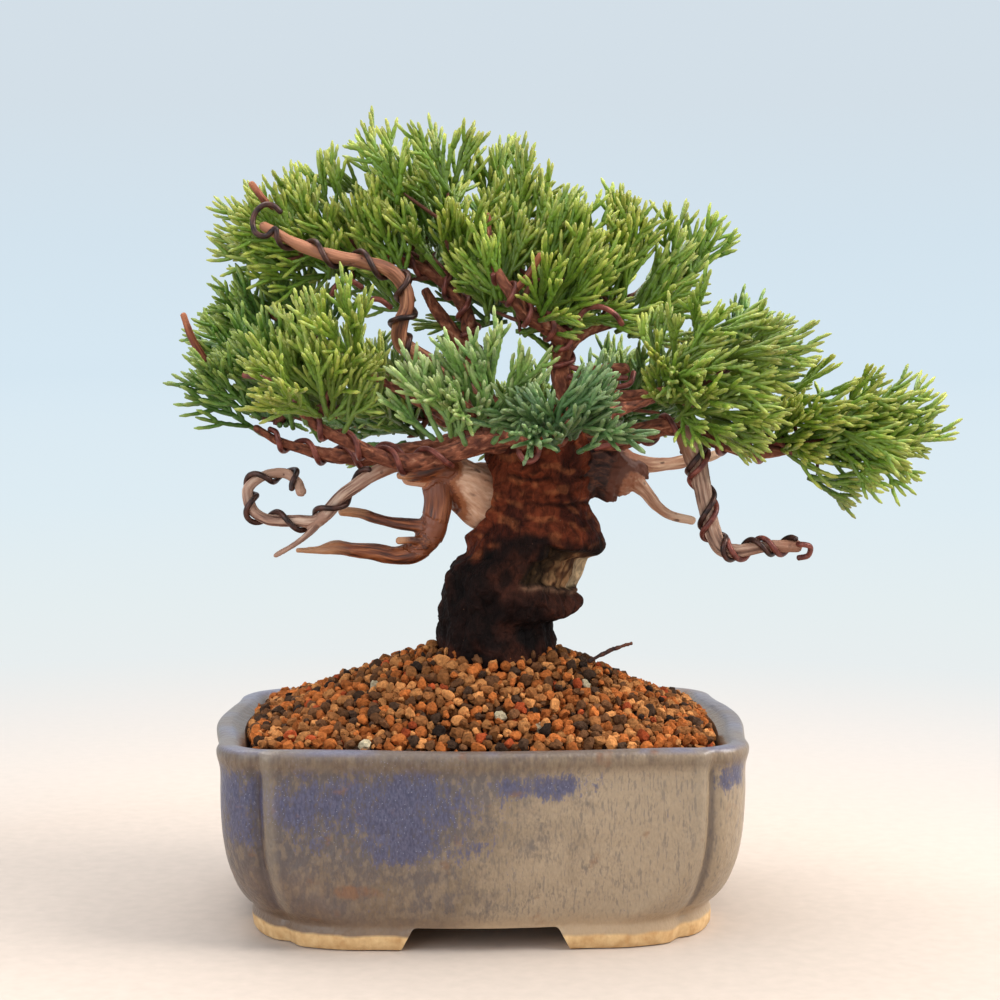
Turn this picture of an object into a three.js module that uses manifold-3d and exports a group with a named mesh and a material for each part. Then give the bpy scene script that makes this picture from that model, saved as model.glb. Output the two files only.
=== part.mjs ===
// A small trained juniper in a four-lobed glazed pot. Millimetres, +Z up.
// The tree is laid out about the pot's centre at the surface it stands on; the last lines shift the whole
// group so that the origin is the bottom centre of its bounding box.

import * as THREE from 'three';
import { mergeVertices } from 'three/addons/utils/BufferGeometryUtils.js';
import Module from 'manifold-3d';

const wasm = await Module();
wasm.setup();

// ---------------------------------------------------------------- driving dimensions

const GAP = 0.35; // clearance between neighbouring pieces

// Pot: a rectangle with bowed sides, round corners and a groove in each corner.
const POT_HEIGHT = 40;
const POT_FLOOR_TOP = 10.5;
const POT_FLOOR_UNDERSIDE = 6.5;
const POT_TURN = 2; // degrees that the pot and its drainage are turned under the tree
// Groove angles are in degrees round the corner, from the end of the pot.
const BODY_OUTLINE = {
  halfX: 52.7, halfY: 41.4, corner: 12.5, bow: 2.5, groove: 1.5, grooveWidth: 1.5, grooveAngle: 67.5,
};
const FOOT_OUTLINE = {
  halfX: 47.2, halfY: 39.8, corner: 23, bow: 1.8, groove: 1.2, grooveWidth: 2.4, grooveAngle: 47,
};
const INNER_OUTLINE = {
  halfX: 47.8, halfY: 36.6, corner: 9, bow: 1.6, groove: 0, grooveWidth: 1, grooveAngle: 67.5,
};
// The foot from the ground up: height and inset from its outline.
const FOOT_PROFILE = [[0, 1], [0.9, 0], [2.4, -0.2], [4.4, 0]];
// Outside of the pot from above the foot to the rim: height, share of the foot's outline in the body's, inset
// and share of the groove's depth.
const BODY_PROFILE = [[5.2, 1, 0, 0.8], [7, 0.8, -0.2, 0.9], [8.5, 0.64, -0.2, 1], [10.5, 0.47, -0.1, 1],
  [13, 0.32, 0, 1], [16, 0.19, 0, 1], [20, 0.09, 0, 1], [27, 0.02, 0, 1], [34.5, 0, 0, 1],
  [36.6, 0, -0.4, 0.7], [38.4, 0, -0.7, 0.4], [39.7, 0, -0.1, 0.2], [POT_HEIGHT, 0, 1.2, 0],
  [39.8, 0, 3.2, 0]];
// Inside of the pot from the rim down: height and inset from its outline.
const INNER_PROFILE = [[38.4, 0], [28, 0.8], [14, 2], [POT_FLOOR_TOP, 5]];
const FOOT_GAP_BOTTOM = 33.6; // cut-out between two feet, at the ground
const FOOT_GAP_TOP = 28.5;
const FOOT_GAP_HEIGHT = 4.8;
const END_GAP_SHARE = 0.75; // the cut-outs at the two ends are narrower
const FOOT_RING_WIDTH = 7;
const DRAIN_X = 22;
const DRAIN_RADIUS = 6;

// Drain mesh, its clip and the anchoring wire.
const MESH_SIZE = 19;
const MESH_THICKNESS = 0.8;
const MESH_PITCH = 5;
const MESH_HOLE = 3.6;
const SOFT_WIRE_RADIUS = 0.6;
const CLIP_Y = 1;
const ANCHOR_Y = -1;

// Soil: a mound that fills the pot and rises to the trunk.
const SOIL_EDGE_HEIGHT = 39.2;
const SOIL_RISE = 17.4;
const SOIL_POWER = 1.38;
const MOUND_OVAL = [46, 36]; // half-sizes of the oval that the upper mound follows

// Trunk from the root base up: height, centre x, centre y, half-width x, half-depth y.
const TRUNK = [
  [38, 3, 0, 11, 11], [42, 3, 0, 13, 12], [48, 3.2, 0, 13.8, 13], [55, 3.4, 0, 12.8, 12.4],
  [59.5, 3.2, 0, 12.5, 12], [60.8, 3.4, 0, 12.6, 12], [61.4, 4.4, 0, 13.8, 12.2], [62.2, 5.6, 0, 14.6, 12.5],
  [64.5, 6, 0, 15, 12.7], [67.2, 5.9, 0, 14.6, 12.5], [70.3, 7, 0, 15, 12.2], [73.4, 9, 0, 13.9, 12.2],
  [74.7, 11, 0, 14.4, 12.5], [76, 11.9, 0, 14.4, 12.8], [78, 12.2, 0, 14.1, 12.6],
  [80.5, 12.7, 0, 13.2, 12.2], [82.5, 12.4, 0, 12.2, 11.6], [84.5, 12, 0, 11.4, 11],
  [92.5, 12.7, 0, 11, 10.4], [97, 12.8, 0, 10.7, 10.2], [101, 13.3, 0, 9.4, 9.2], [105, 13.3, 0, 6.5, 7],
];
const WOUND_CENTRE = [12, -13.5, 74];
const WOUND_SIZE = [5.5, 5, 4.4];

// Living wood. Each route is a list of points on the branch: x, y, z and the radius there.
const BRANCHES = {
  branch_left: [[5.5, 2, 100.5, 2.38], [-2, 1, 99.5, 2.1], [-9.5, -1, 97.5, 1.89], [-16.5, -3, 96.5, 1.75],
    [-24, -6, 95.5, 1.61], [-30.5, -8, 96, 1.4], [-36.5, -10, 97.5, 1.12], [-42, -12, 99.5, 0.91],
    [-46, -14, 102, 0.77]],
  branch_left_front: [[7, -5, 99.5, 2.38], [0, -8, 98.5, 2.1], [-6.5, -11, 96.5, 1.89],
    [-13, -13, 95, 1.75], [-18.5, -15, 95.5, 1.54], [-24, -18, 98, 1.33], [-29, -21, 100.5, 1.12],
    [-33.5, -24, 103.5, 0.98], [-36.5, -27, 107.5, 0.84], [-38.5, -29, 111, 0.7]],
  branch_left_back: [[5, 8, 101, 2.1], [-5.5, 12, 103.5, 1.82], [-13.5, 14, 107.5, 1.54],
    [-23.5, 16, 113, 1.26], [-34, 16, 119, 1.05], [-42.5, 15, 124, 0.84], [-49.5, 15, 127.5, 0.7]],
  stem_left: [[8.5, 4, 100.5, 2.94], [4.5, 4, 103, 2.52], [0.5, 4, 107.5, 2.24], [-2, 4, 112, 2.03],
    [-2.5, 4, 117, 1.96], [-2.5, 4, 121, 1.68], [-3, 4, 126, 1.4], [-6.5, 4, 131, 1.26],
    [-12.5, 4, 135.5, 1.12], [-21, 4, 138, 0.98], [-29.5, 3, 141.5, 0.84], [-37, 2, 145, 0.7]],
  stem_left_fork: [[-2, 4, 117, 1.54], [-6, 3, 122, 1.33], [-9.5, 2, 127, 1.19], [-11.5, 0, 130.5, 0.98]],
  stem_right: [[16, 0, 100.5, 2.94], [18.5, 0, 106, 2.38], [17.5, 0, 110.5, 1.96], [17, -1, 115.5, 1.89],
    [17.5, -3, 119.5, 1.89], [14.5, -6, 122.5, 1.68], [9.5, -10, 125.5, 1.47], [6.5, -13, 129.5, 1.19],
    [3.5, -12, 134.5, 0.98], [2, -9, 140, 0.84], [1.5, -6, 146, 0.7]],
  stem_right_fork: [[18, -2, 119, 1.54], [22, 1, 122, 1.33], [27, 4, 124, 1.12], [32.5, 8, 128.5, 0.98],
    [38, 11, 134, 0.77]],
  stem_right_back: [[17, 0, 118, 1.54], [16.5, 8, 122.5, 1.26], [14, 17, 126.5, 0.98], [11, 25, 131.5, 0.77]],
  branch_right_middle: [[19, -3, 106, 1.4], [24.5, -8, 108, 1.25], [30.5, -13, 108.5, 1.15],
    [37, -17, 109.5, 1], [44, -20, 112, 0.84]],
  branch_right: [[21, 0, 100, 2.66], [28, -3, 99.5, 2.24], [33.5, -5, 100.5, 1.96], [39, -7, 102, 1.75],
    [45.5, -7, 100.5, 1.54], [52, -6, 98, 1.4], [58, -5, 96.5, 1.19], [64, -4, 97, 1.05],
    [70.5, -3, 98.5, 0.84], [78, -2, 100.5, 0.7], [84.5, -2, 101.5, 0.56]],
  branch_right_back: [[20, 6, 101, 1.6], [33, 13, 106, 1.3], [46, 19, 111, 1.1], [57, 22, 115.5, 0.91],
    [64, 23, 117.5, 0.77]],
  branch_front_left: [[10, -7, 99, 1.82], [5.5, -19, 100.5, 1.4], [1, -29, 104, 1.05],
    [-3, -36, 107.5, 0.77]],
  branch_front_right: [[15, -7, 99, 1.68], [17, -22, 100.5, 1.26], [17.5, -34, 102.5, 0.91],
    [17.5, -40, 104, 0.7]],
  branch_back_left: [[6, 8, 97, 1.82], [-3, 18, 100, 1.47], [-11, 26, 103.5, 1.12], [-18, 32, 106, 0.77]],
  branch_back: [[14, 8, 98, 1.96], [13.5, 22, 99, 1.54], [11.5, 34, 100.5, 1.19], [9.5, 41, 102, 0.84]],
  branch_back_right: [[19, 7, 96, 1.82], [26, 20, 100, 1.4], [30.5, 31, 104, 1.05], [33, 37, 107, 0.77]],
  bark_stub: [[19.5, -2, 111, 1.2], [23.5, -4, 113, 1.4], [27, -6, 113.8, 1.4], [30.5, -8, 114, 1.1]],
};

// Dead wood, stripped of its bark. A node is one route or several that grow together.
const DEADWOOD = {
  deadwood_left: [
    [[4.5, 3, 86.5, 7.2], [0.5, 1, 87.2, 7.2], [-2.5, -1.5, 89, 5.6], [-5.5, -3.5, 91, 4.2],
      [-10, -6, 92, 3.2], [-15.5, -8, 91.5, 1.6]],
    [[-9.5, -6, 92, 2.9], [-9, -6, 87.5, 2.8], [-9.5, -6, 82.5, 2.8], [-11, -6, 78.5, 2.7],
      [-13.5, -6.5, 76, 2.3], [-17.5, -7, 75, 2], [-22, -8, 76, 1.8], [-26.5, -9, 76.5, 1.5],
      [-30, -9.5, 77, 1.5], [-33.5, -10, 76.5, 0.9], [-38, -10.5, 76.5, 0.6]],
    [[-10, -6, 81, 1.6], [-18, -7, 82, 1.2], [-22, -7.5, 83, 1.1], [-25, -8, 84, 1], [-29, -8.5, 84.5, 1]],
    [[-11, -6, 77.5, 1.2], [-14, -9, 78.5, 0.9], [-17, -10.5, 78.5, 0.8]],
    [[-8, -7.5, 94, 1.6], [-11.3, -9.4, 93.4, 1.9], [-14.3, -10.3, 92.6, 1.6], [-16.8, -10.8, 92, 0.8]],
  ],
  deadwood_coiled: [
    [[-15, -11.5, 95, 1.6], [-18, -11.8, 94.3, 1.5], [-21.5, -12.5, 92.6, 1.4], [-24.5, -13.5, 90.8, 1.3],
      [-28.5, -15, 88, 1.3], [-31, -15.5, 85, 1.3], [-33.5, -16, 83, 1.3], [-37, -16, 83, 1.2],
      [-40.5, -16, 83, 1.15], [-44, -16, 83.5, 1.1], [-46.5, -15.5, 85, 1.1], [-47.5, -15, 87.5, 1.1],
      [-47.5, -14.5, 89.5, 1.05], [-45.5, -14, 91.5, 1], [-43, -13.5, 92.5, 1], [-40, -13, 92.5, 1],
      [-37.5, -14.5, 91, 1], [-36.5, -17, 89, 1]],
    [[-32, -15.5, 84, 0.9], [-34.5, -16.5, 81, 0.7], [-37.5, -17, 78.5, 0.6], [-42, -17.5, 76, 0.5]],
  ],
  deadwood_upper_left: [
    [[0.5, 3, 107, 1.9], [-2.5, -3, 109, 1.9], [-6, -9, 112, 1.9], [-13, -10, 117, 1.8],
      [-16.5, -11, 120, 1.6], [-16, -12, 124, 1.5], [-15, -12, 127, 1.45], [-15.5, -12, 131, 1.4],
      [-18, -12, 134, 1.4], [-23.5, -12, 136, 1.35], [-29, -12, 137, 1.3], [-34.5, -12, 138.5, 1.2],
      [-40, -12, 141, 1.1], [-44.5, -12, 143.5, 1]],
  ],
  deadwood_right: [
    [[19, 2, 92.5, 5.8], [24, 2, 92.8, 5.3], [28.5, 2, 92.2, 5.4], [31.5, 2, 92.4, 4.7],
      [33.8, 2, 92.8, 2.8]],
    [[32.5, 2, 94, 2], [37.5, 3, 93.5, 1.4], [43, 5, 94, 1.3], [49, 7, 95, 1], [52, 8, 96, 0.8]],
    [[32, 1, 90.8, 2.1], [35, 0, 88, 1.35], [37.5, -1, 85, 1.2], [40.5, -2, 83, 1], [45, -3, 82, 0.9]],
  ],
  deadwood_drooping: [
    [[43, -9, 100.5, 2.2], [43.8, -11.5, 98.4, 2.2], [44.8, -12.3, 95.5, 1.95], [45.6, -12, 92, 1.65],
      [46.4, -12, 87.5, 1.5], [47.5, -12, 83, 1.4], [48.5, -12, 79.5, 1.5], [50, -12, 77.2, 1.4],
      [53, -12, 76.5, 1.2], [56.5, -12, 77, 1.15], [59.5, -12, 77.5, 1.1], [62.5, -12, 77.5, 1.1],
      [66, -12, 77.5, 1.1]],
  ],
};

// Training wire: radius, standoff from the bark, and for each wire the route it is wound on, the number of
// turns, the share of the route it covers and the angle it starts at.
const WIRE_RADIUS = 0.6;
const WIRE_STANDOFF = 0.55;
const STEPS_PER_TURN = 8;
const WIRES = {
  wire_branch_left: { on: BRANCHES.branch_left, turns: 4, from: 0.3, to: 0.95, angle: 0 },
  wire_branch_left_front: { on: BRANCHES.branch_left_front, turns: 4.5, from: 0.22, to: 0.97, angle: 2 },
  wire_stem_left: { on: BRANCHES.stem_left, turns: 6, from: 0.24, to: 0.8, angle: 1 },
  wire_stem_right: { on: BRANCHES.stem_right, turns: 6, from: 0.22, to: 0.8, angle: 4 },
  wire_branch_right: { on: BRANCHES.branch_right, turns: 5.5, from: 0.2, to: 0.9, angle: 3 },
  wire_coiled: { on: DEADWOOD.deadwood_coiled[0], turns: 5.2, from: 0.13, to: 0.99, angle: 4 },
  wire_upper_left: { on: DEADWOOD.deadwood_upper_left[0], turns: 5.4, from: 0.22, to: 0.96, angle: 1.6 },
  wire_drooping: { on: DEADWOOD.deadwood_drooping[0], turns: 4.2, from: 0.1, to: 1, angle: 0.6 },
};
const WIRED_ROUTE_ROOM = 2 * WIRE_RADIUS + WIRE_STANDOFF + 2 * GAP; // room that wire takes round a branch

// Foliage pads: centre x, y, z and half-sizes x, y, z.
const PAD_DETAIL = 2;
const PAD_POWER = 2.7; // 2 makes a pad round, and more makes it boxier
const PADS = {
  foliage_upper_left: [-40.5, 2, 143, 16, 13, 10],
  foliage_top: [-10, 5, 149.5, 28, 17, 15.5],
  foliage_crown: [13.5, -3, 138, 19, 13, 14.5],
  foliage_crown_back: [5, 27, 138.5, 18, 12, 12],
  foliage_upper_right: [31.5, 8, 137, 19.5, 13, 16],
  foliage_right_front: [48, -18, 113, 17, 13, 15.5],
  foliage_right_back: [59, 22, 116, 12, 12, 11],
  foliage_right: [74.5, -2, 98, 17, 12, 13.5],
  foliage_right_end: [88, -3, 101, 14, 7, 4],
  foliage_left_back: [-48, 15, 125, 13.5, 12, 10.5],
  foliage_left: [-48, -13, 115, 13.5, 12, 13],
  foliage_left_front: [-32, -31, 116, 14.5, 11.5, 12],
  foliage_front_left: [-2.5, -36, 110, 15.5, 9.5, 8],
  foliage_front_right: [19, -40, 105.5, 14.5, 8, 6],
  foliage_back_left: [-22, 36, 109, 17.5, 15, 10],
  foliage_back: [9, 44, 102, 15.5, 13, 9],
  foliage_back_right: [37, 38, 109, 16.5, 14, 10],
};

const COLOURS = {
  glaze: [0x736a6b, 0.35, 0], soil: [0x9a5c2c, 0.95, 0], plastic: [0x20241f, 0.6, 0],
  softWire: [0x8f9499, 0.4, 0.9], bark: [0x6b3a22, 0.85, 0], bone: [0xb98a66, 0.8, 0],
  wire: [0x7d4637, 0.4, 0.6], leaf: [0x6c9328, 0.7, 0],
};

// ---------------------------------------------------------------- solids

// A closed geometry as a solid whose faces point out.
function solidOf(geometry) {
  const bare = geometry.index ? geometry.toNonIndexed() : geometry.clone();
  bare.deleteAttribute('normal');
  bare.deleteAttribute('uv');
  const merged = mergeVertices(bare, 1e-4);
  const corners = [];
  for (let i = 0; i < merged.index.count; i += 3) {
    const [a, b, c] = [0, 1, 2].map((k) => merged.index.getX(i + k));
    if (a !== b && b !== c && c !== a) corners.push(a, b, c);
  }
  const make = (triVerts) => new wasm.Manifold(new wasm.Mesh({
    numProp: 3, vertProperties: merged.attributes.position.array, triVerts: new Uint32Array(triVerts),
  }));
  const made = make(corners);
  return made.volume() > 0 ? made : make(corners.reverse());
}

function geometryOf(solid) {
  const { vertProperties, triVerts, numProp } = solid.getMesh();
  const positions = [];
  for (let i = 0; i < vertProperties.length; i += numProp) {
    positions.push(...vertProperties.slice(i, i + 3));
  }
  const geometry = new THREE.BufferGeometry();
  geometry.setAttribute('position', new THREE.Float32BufferAttribute(positions, 3));
  geometry.setIndex([...triVerts]);
  geometry.computeVertexNormals();
  return geometry;
}

// The largest separate body of a solid: a cut can leave crumbs behind.
function mainBody(solid) {
  return solid.decompose().reduce((a, b) => (a.volume() >= b.volume() ? a : b));
}

// A closed skin over a stack of rings with the same number of points each. A ring of one repeated point
// closes an end.
function loft(rings) {
  const count = rings[0].length;
  const grid = new THREE.LatheGeometry(rings.map((_, row) => new THREE.Vector2(1, row)), count);
  const position = grid.getAttribute('position');
  for (let column = 0; column <= count; column += 1) {
    rings.forEach((ring, row) => {
      position.setXYZ(column * rings.length + row, ...ring[column % count]);
    });
  }
  return solidOf(grid);
}

const pointRing = (point, count) => Array.from({ length: count }, () => point);

// The curve through a route's points.
function routeCurve(route) {
  const points = route.map(([x, y, z]) => new THREE.Vector3(x, y, z));
  return new THREE.CatmullRomCurve3(points, false, 'centripetal');
}

// Radius of a route at t, from 0 to 1 over its points.
function routeRadius(route, t) {
  const place = t * (route.length - 1);
  const i = Math.min(Math.floor(place), route.length - 2);
  return THREE.MathUtils.lerp(route[i][3], route[i + 1][3], place - i);
}

// Points along a route with two directions across it that don't twist.
function routeFrames(route, steps, from = 0, to = 1) {
  const curve = routeCurve(route);
  const side = new THREE.Vector3(0.31, 0.9, 0.29).normalize();
  return Array.from({ length: steps + 1 }, (_, i) => {
    const t = from + (to - from) * i / steps;
    const along = curve.getTangent(t);
    side.addScaledVector(along, -side.dot(along)).normalize();
    return { t, centre: curve.getPoint(t), u: side.clone(), v: along.clone().cross(side), along };
  });
}

// A round branch that follows a route, grown on every side by an allowance.
function branch(route, grow = 0, sides = 6) {
  const frames = routeFrames(route, Math.max(3, Math.round((route.length - 1) * 1.25)));
  const rings = frames.map(({ t, centre, u, v }) => {
    const radius = routeRadius(route, t) + grow;
    return Array.from({ length: sides }, (_, k) => {
      const angle = 2 * Math.PI * k / sides;
      return centre.clone().addScaledVector(u, radius * Math.cos(angle))
        .addScaledVector(v, radius * Math.sin(angle)).toArray();
    });
  });
  const [first, last] = [frames[0], frames[frames.length - 1]];
  const tip = last.centre.clone().addScaledVector(last.along, 0.4 * routeRadius(route, 1) + grow);
  const root = first.centre.clone().addScaledVector(first.along, -grow);
  return loft([pointRing(root.toArray(), sides), ...rings, pointRing(tip.toArray(), sides)]);
}

const grownTogether = (routes, grow = 0) => routes.map((route) => branch(route, grow))
  .reduce((whole, part) => whole.add(part));

// A tube of constant section through points.
function tube(points, radius, steps, sides = 5) {
  const path = new THREE.CatmullRomCurve3(points, false, 'centripetal');
  const corners = Array.from({ length: sides }, (_, k) => {
    const angle = 2 * Math.PI * k / sides;
    return new THREE.Vector2(radius * Math.cos(angle), radius * Math.sin(angle));
  });
  return solidOf(new THREE.ExtrudeGeometry(new THREE.Shape(corners), { extrudePath: path, steps }));
}

// Wire wound as a helix round a branch, grown on every side by an allowance.
function woundWire({ on, turns, from, to, angle }, grow = 0) {
  const steps = Math.round(turns * STEPS_PER_TURN);
  const points = routeFrames(on, steps, from, to).map(({ t, centre, u, v }, i) => {
    const turn = angle + 2 * Math.PI * i / STEPS_PER_TURN;
    const reach = routeRadius(on, t) + WIRE_STANDOFF + WIRE_RADIUS;
    return centre.clone().addScaledVector(u, reach * Math.cos(turn))
      .addScaledVector(v, reach * Math.sin(turn));
  });
  return tube(points, WIRE_RADIUS + grow, steps, 4);
}

// ---------------------------------------------------------------- pot, soil and drainage

// Where the points of a corner's arc are, as angles: close together at the groove.
function cornerTurns({ corner, grooveWidth, grooveAngle }) {
  const groove = THREE.MathUtils.degToRad(grooveAngle);
  const side = 1.5 * grooveWidth / corner;
  const last = (groove + side + Math.PI / 2) / 2;
  return [0, groove / 3, 2 * groove / 3, groove - side, groove, groove + side, last, Math.PI / 2];
}

// A closed outline, pushed in by an inset all round. The groove sits in each corner's arc.
function lobedOutline(shape, inset, height, grooveShare = 1) {
  const { halfX, halfY, corner, bow, groove, grooveWidth, grooveAngle } = shape;
  const quarter = [];
  const side = (share) => bow * Math.cos(share * Math.PI / 2) ** 2 - inset;
  for (const s of [0, 0.35, 0.7]) quarter.push([halfX + side(s), s * (halfY - corner)]);
  for (const turn of cornerTurns(shape)) {
    const fromGroove = corner * (turn - THREE.MathUtils.degToRad(grooveAngle)) / grooveWidth;
    const radius = corner - inset - grooveShare * groove * Math.exp(-fromGroove * fromGroove);
    quarter.push([halfX - corner + radius * Math.cos(turn), halfY - corner + radius * Math.sin(turn)]);
  }
  for (const s of [0.7, 0.35]) quarter.push([s * (halfX - corner), halfY + side(s)]);
  quarter.push([0, halfY + side(0)]);
  const half = [...quarter, ...quarter.slice(1, -1).reverse().map(([x, y]) => [-x, y])];
  const ring = [...half, [-quarter[0][0], 0], ...half.slice(1).reverse().map(([x, y]) => [x, -y])];
  return ring.map(([x, y]) => [x, y, height]);
}

// A ring of the pot's body, which takes on the foot's outline as it goes down.
function bodyRing([height, footShare, inset, grooveShare]) {
  const body = lobedOutline(BODY_OUTLINE, inset, height, grooveShare);
  const foot = lobedOutline(FOOT_OUTLINE, inset, height, grooveShare);
  return body.map(([x, y, z], i) => (
    [THREE.MathUtils.lerp(x, foot[i][0], footShare), THREE.MathUtils.lerp(y, foot[i][1], footShare), z]));
}

// The pot and what is in it are turned a little under the tree.
const turned = (solid) => solid.rotate([0, 0, POT_TURN]);

// The cutter for the gap between two feet: it runs right through under the pot along Y. It starts below the
// ground, so it is a little wider there.
function footGap(share) {
  const [bottom, top] = [share * FOOT_GAP_BOTTOM / 2 + 0.5, share * FOOT_GAP_TOP / 2];
  const corners = [[-bottom, -1], [bottom, -1], [top, FOOT_GAP_HEIGHT], [-top, FOOT_GAP_HEIGHT]];
  const shape = new THREE.Shape(corners.map(([x, z]) => new THREE.Vector2(x, z)));
  const depth = 3 * BODY_OUTLINE.halfX;
  const cutter = new THREE.ExtrudeGeometry(shape, { depth, bevelEnabled: false });
  return cutter.translate(0, 0, -depth / 2).rotateX(Math.PI / 2);
}

function drainHole(x) {
  return solidOf(new THREE.CylinderGeometry(DRAIN_RADIUS, DRAIN_RADIUS, 20, 14).rotateX(Math.PI / 2)
    .translate(x, 0, POT_FLOOR_TOP));
}

function pot() {
  const footInside = (height) => lobedOutline({ ...FOOT_OUTLINE, groove: 0 }, FOOT_RING_WIDTH, height);
  const count = footInside(0).length;
  const body = loft([
    pointRing([0, 0, POT_FLOOR_UNDERSIDE], count), footInside(POT_FLOOR_UNDERSIDE), footInside(0),
    ...FOOT_PROFILE.map(([height, inset]) => lobedOutline(FOOT_OUTLINE, inset, height)),
    ...BODY_PROFILE.map(bodyRing),
    ...INNER_PROFILE.map(([height, inset]) => lobedOutline(INNER_OUTLINE, inset, height)),
    pointRing([0, 0, POT_FLOOR_TOP], count),
  ]);
  const frontGap = solidOf(footGap(1));
  const endGap = solidOf(footGap(END_GAP_SHARE).rotateZ(Math.PI / 2));
  const cuts = [frontGap, endGap, drainHole(-DRAIN_X), drainHole(DRAIN_X)];
  return turned(cuts.reduce((rest, cutter) => rest.subtract(cutter), body));
}

function soil(cutters) {
  const inner = (inset, height) => lobedOutline(INNER_OUTLINE, inset + GAP, height);
  const edge = inner(0, SOIL_EDGE_HEIGHT);
  const oval = edge.map(([x, y]) => {
    const size = Math.hypot(x / MOUND_OVAL[0], y / MOUND_OVAL[1]);
    return [x / size, y / size];
  });
  const mound = [0.88, 0.7, 0.48, 0.25].map((share) => edge.map(([x, y], i) => [
    share * THREE.MathUtils.lerp(oval[i][0], x, share), share * THREE.MathUtils.lerp(oval[i][1], y, share),
    SOIL_EDGE_HEIGHT + SOIL_RISE * (1 - share ** SOIL_POWER),
  ]));
  const body = loft([
    pointRing([0, 0, POT_FLOOR_TOP + GAP], edge.length), inner(5.4, POT_FLOOR_TOP + GAP), inner(2, 14.4),
    inner(0.8, 28), edge, ...mound, pointRing([0, 0, SOIL_EDGE_HEIGHT + SOIL_RISE], edge.length),
  ]);
  return mainBody(cutters.reduce((rest, cutter) => rest.subtract(cutter), turned(body)));
}

function drainMesh(x, grow = 0) {
  const middle = POT_FLOOR_TOP + GAP + MESH_THICKNESS / 2;
  const block = (width, height, cx, cy) => solidOf(new THREE.BoxGeometry(width, width, height)
    .translate(x + cx, cy, middle));
  let plate = block(MESH_SIZE + 2 * grow, MESH_THICKNESS + 2 * grow, 0, 0);
  if (grow > 0) return turned(plate);
  for (const column of [-1, 0, 1]) {
    for (const row of [-1, 0, 1]) {
      plate = plate.subtract(block(MESH_HOLE, 3 * MESH_THICKNESS, column * MESH_PITCH, row * MESH_PITCH));
    }
  }
  return turned(plate);
}

// A staple through the mesh whose ends are bent outwards under the floor.
function meshClip(x, radius = SOFT_WIRE_RADIUS) {
  const leg = MESH_PITCH - 1;
  const under = POT_FLOOR_UNDERSIDE - 1;
  const over = POT_FLOOR_TOP + GAP + MESH_THICKNESS + 1;
  const path = [[-9, under], [-leg - 1, under], [-leg, under + 1], [-leg, over - 1], [-leg + 1, over],
    [leg - 1, over], [leg, over - 1], [leg, under + 1], [leg + 1, under], [9, under]];
  return turned(tube(path.map(([dx, z]) => new THREE.Vector3(x + dx, CLIP_Y, z)), radius, 22, 4));
}

// The wire that holds the roots down: under the floor and up through both drain holes.
function anchorWire(radius = SOFT_WIRE_RADIUS) {
  const under = POT_FLOOR_UNDERSIDE - 1;
  const legX = DRAIN_X;
  const half = [[0, under], [legX - 2, under], [legX, under + 2], [legX, 20], [legX, 32], [legX - 1.5, 42]];
  const path = [...half.slice(1).reverse().map(([x, z]) => [-x, z]), ...half];
  return turned(tube(path.map(([x, z]) => new THREE.Vector3(x, ANCHOR_Y, z)), radius, 30, 4));
}

// ---------------------------------------------------------------- tree

function trunkSkin(grow = 0) {
  const sides = 18;
  const rings = TRUNK.map(([z, cx, cy, rx, ry]) => Array.from({ length: sides }, (_, k) => {
    const angle = 2 * Math.PI * k / sides;
    const lobes = 1 + 0.03 * Math.sin(3 * angle + 0.12 * z) + 0.02 * Math.sin(7 * angle - 0.2 * z);
    return [cx + (rx * lobes + grow) * Math.cos(angle), cy + (ry * lobes + grow) * Math.sin(angle), z];
  }));
  const [bottom, top] = [TRUNK[0], TRUNK[TRUNK.length - 1]];
  return loft([pointRing([bottom[1], bottom[2], bottom[0] - 2 - grow], sides), ...rings,
    pointRing([top[1], top[2], top[0] + 2 + grow], sides)]);
}

function trunk() {
  const hollow = new THREE.SphereGeometry(1, 10, 8).scale(...WOUND_SIZE).translate(...WOUND_CENTRE);
  return trunkSkin().subtract(solidOf(hollow));
}

// A lumpy cushion of foliage.
function pad([x, y, z, rx, ry, rz], grow = 0) {
  const ball = new THREE.IcosahedronGeometry(1, PAD_DETAIL);
  const position = ball.getAttribute('position');
  const p = new THREE.Vector3();
  for (let i = 0; i < position.count; i += 1) {
    p.fromBufferAttribute(position, i);
    p.divideScalar([p.x, p.y, p.z].reduce((sum, c) => sum + Math.abs(c) ** PAD_POWER, 0) ** (1 / PAD_POWER));
    const lump = 0.06 * Math.sin(5 * p.x + x) * Math.cos(4 * p.y + y) + 0.05 * Math.sin(6 * p.z + x + y);
    const reach = [rx, ry, rz].map((half) => half * (1 + lump) + grow);
    position.setXYZ(i, x + p.x * reach[0], y + p.y * reach[1], z + p.z * reach[2]);
  }
  return solidOf(ball);
}

// ---------------------------------------------------------------- assembly

const tree = new THREE.Group();

function addPiece(name, solid, [color, roughness, metalness]) {
  const material = new THREE.MeshStandardMaterial({ color, roughness, metalness });
  const mesh = new THREE.Mesh(geometryOf(solid), material);
  mesh.name = name;
  tree.add(mesh);
}

const cutClear = (solid, cutters) => mainBody(cutters.reduce((rest, cutter) => rest.subtract(cutter), solid));

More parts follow.
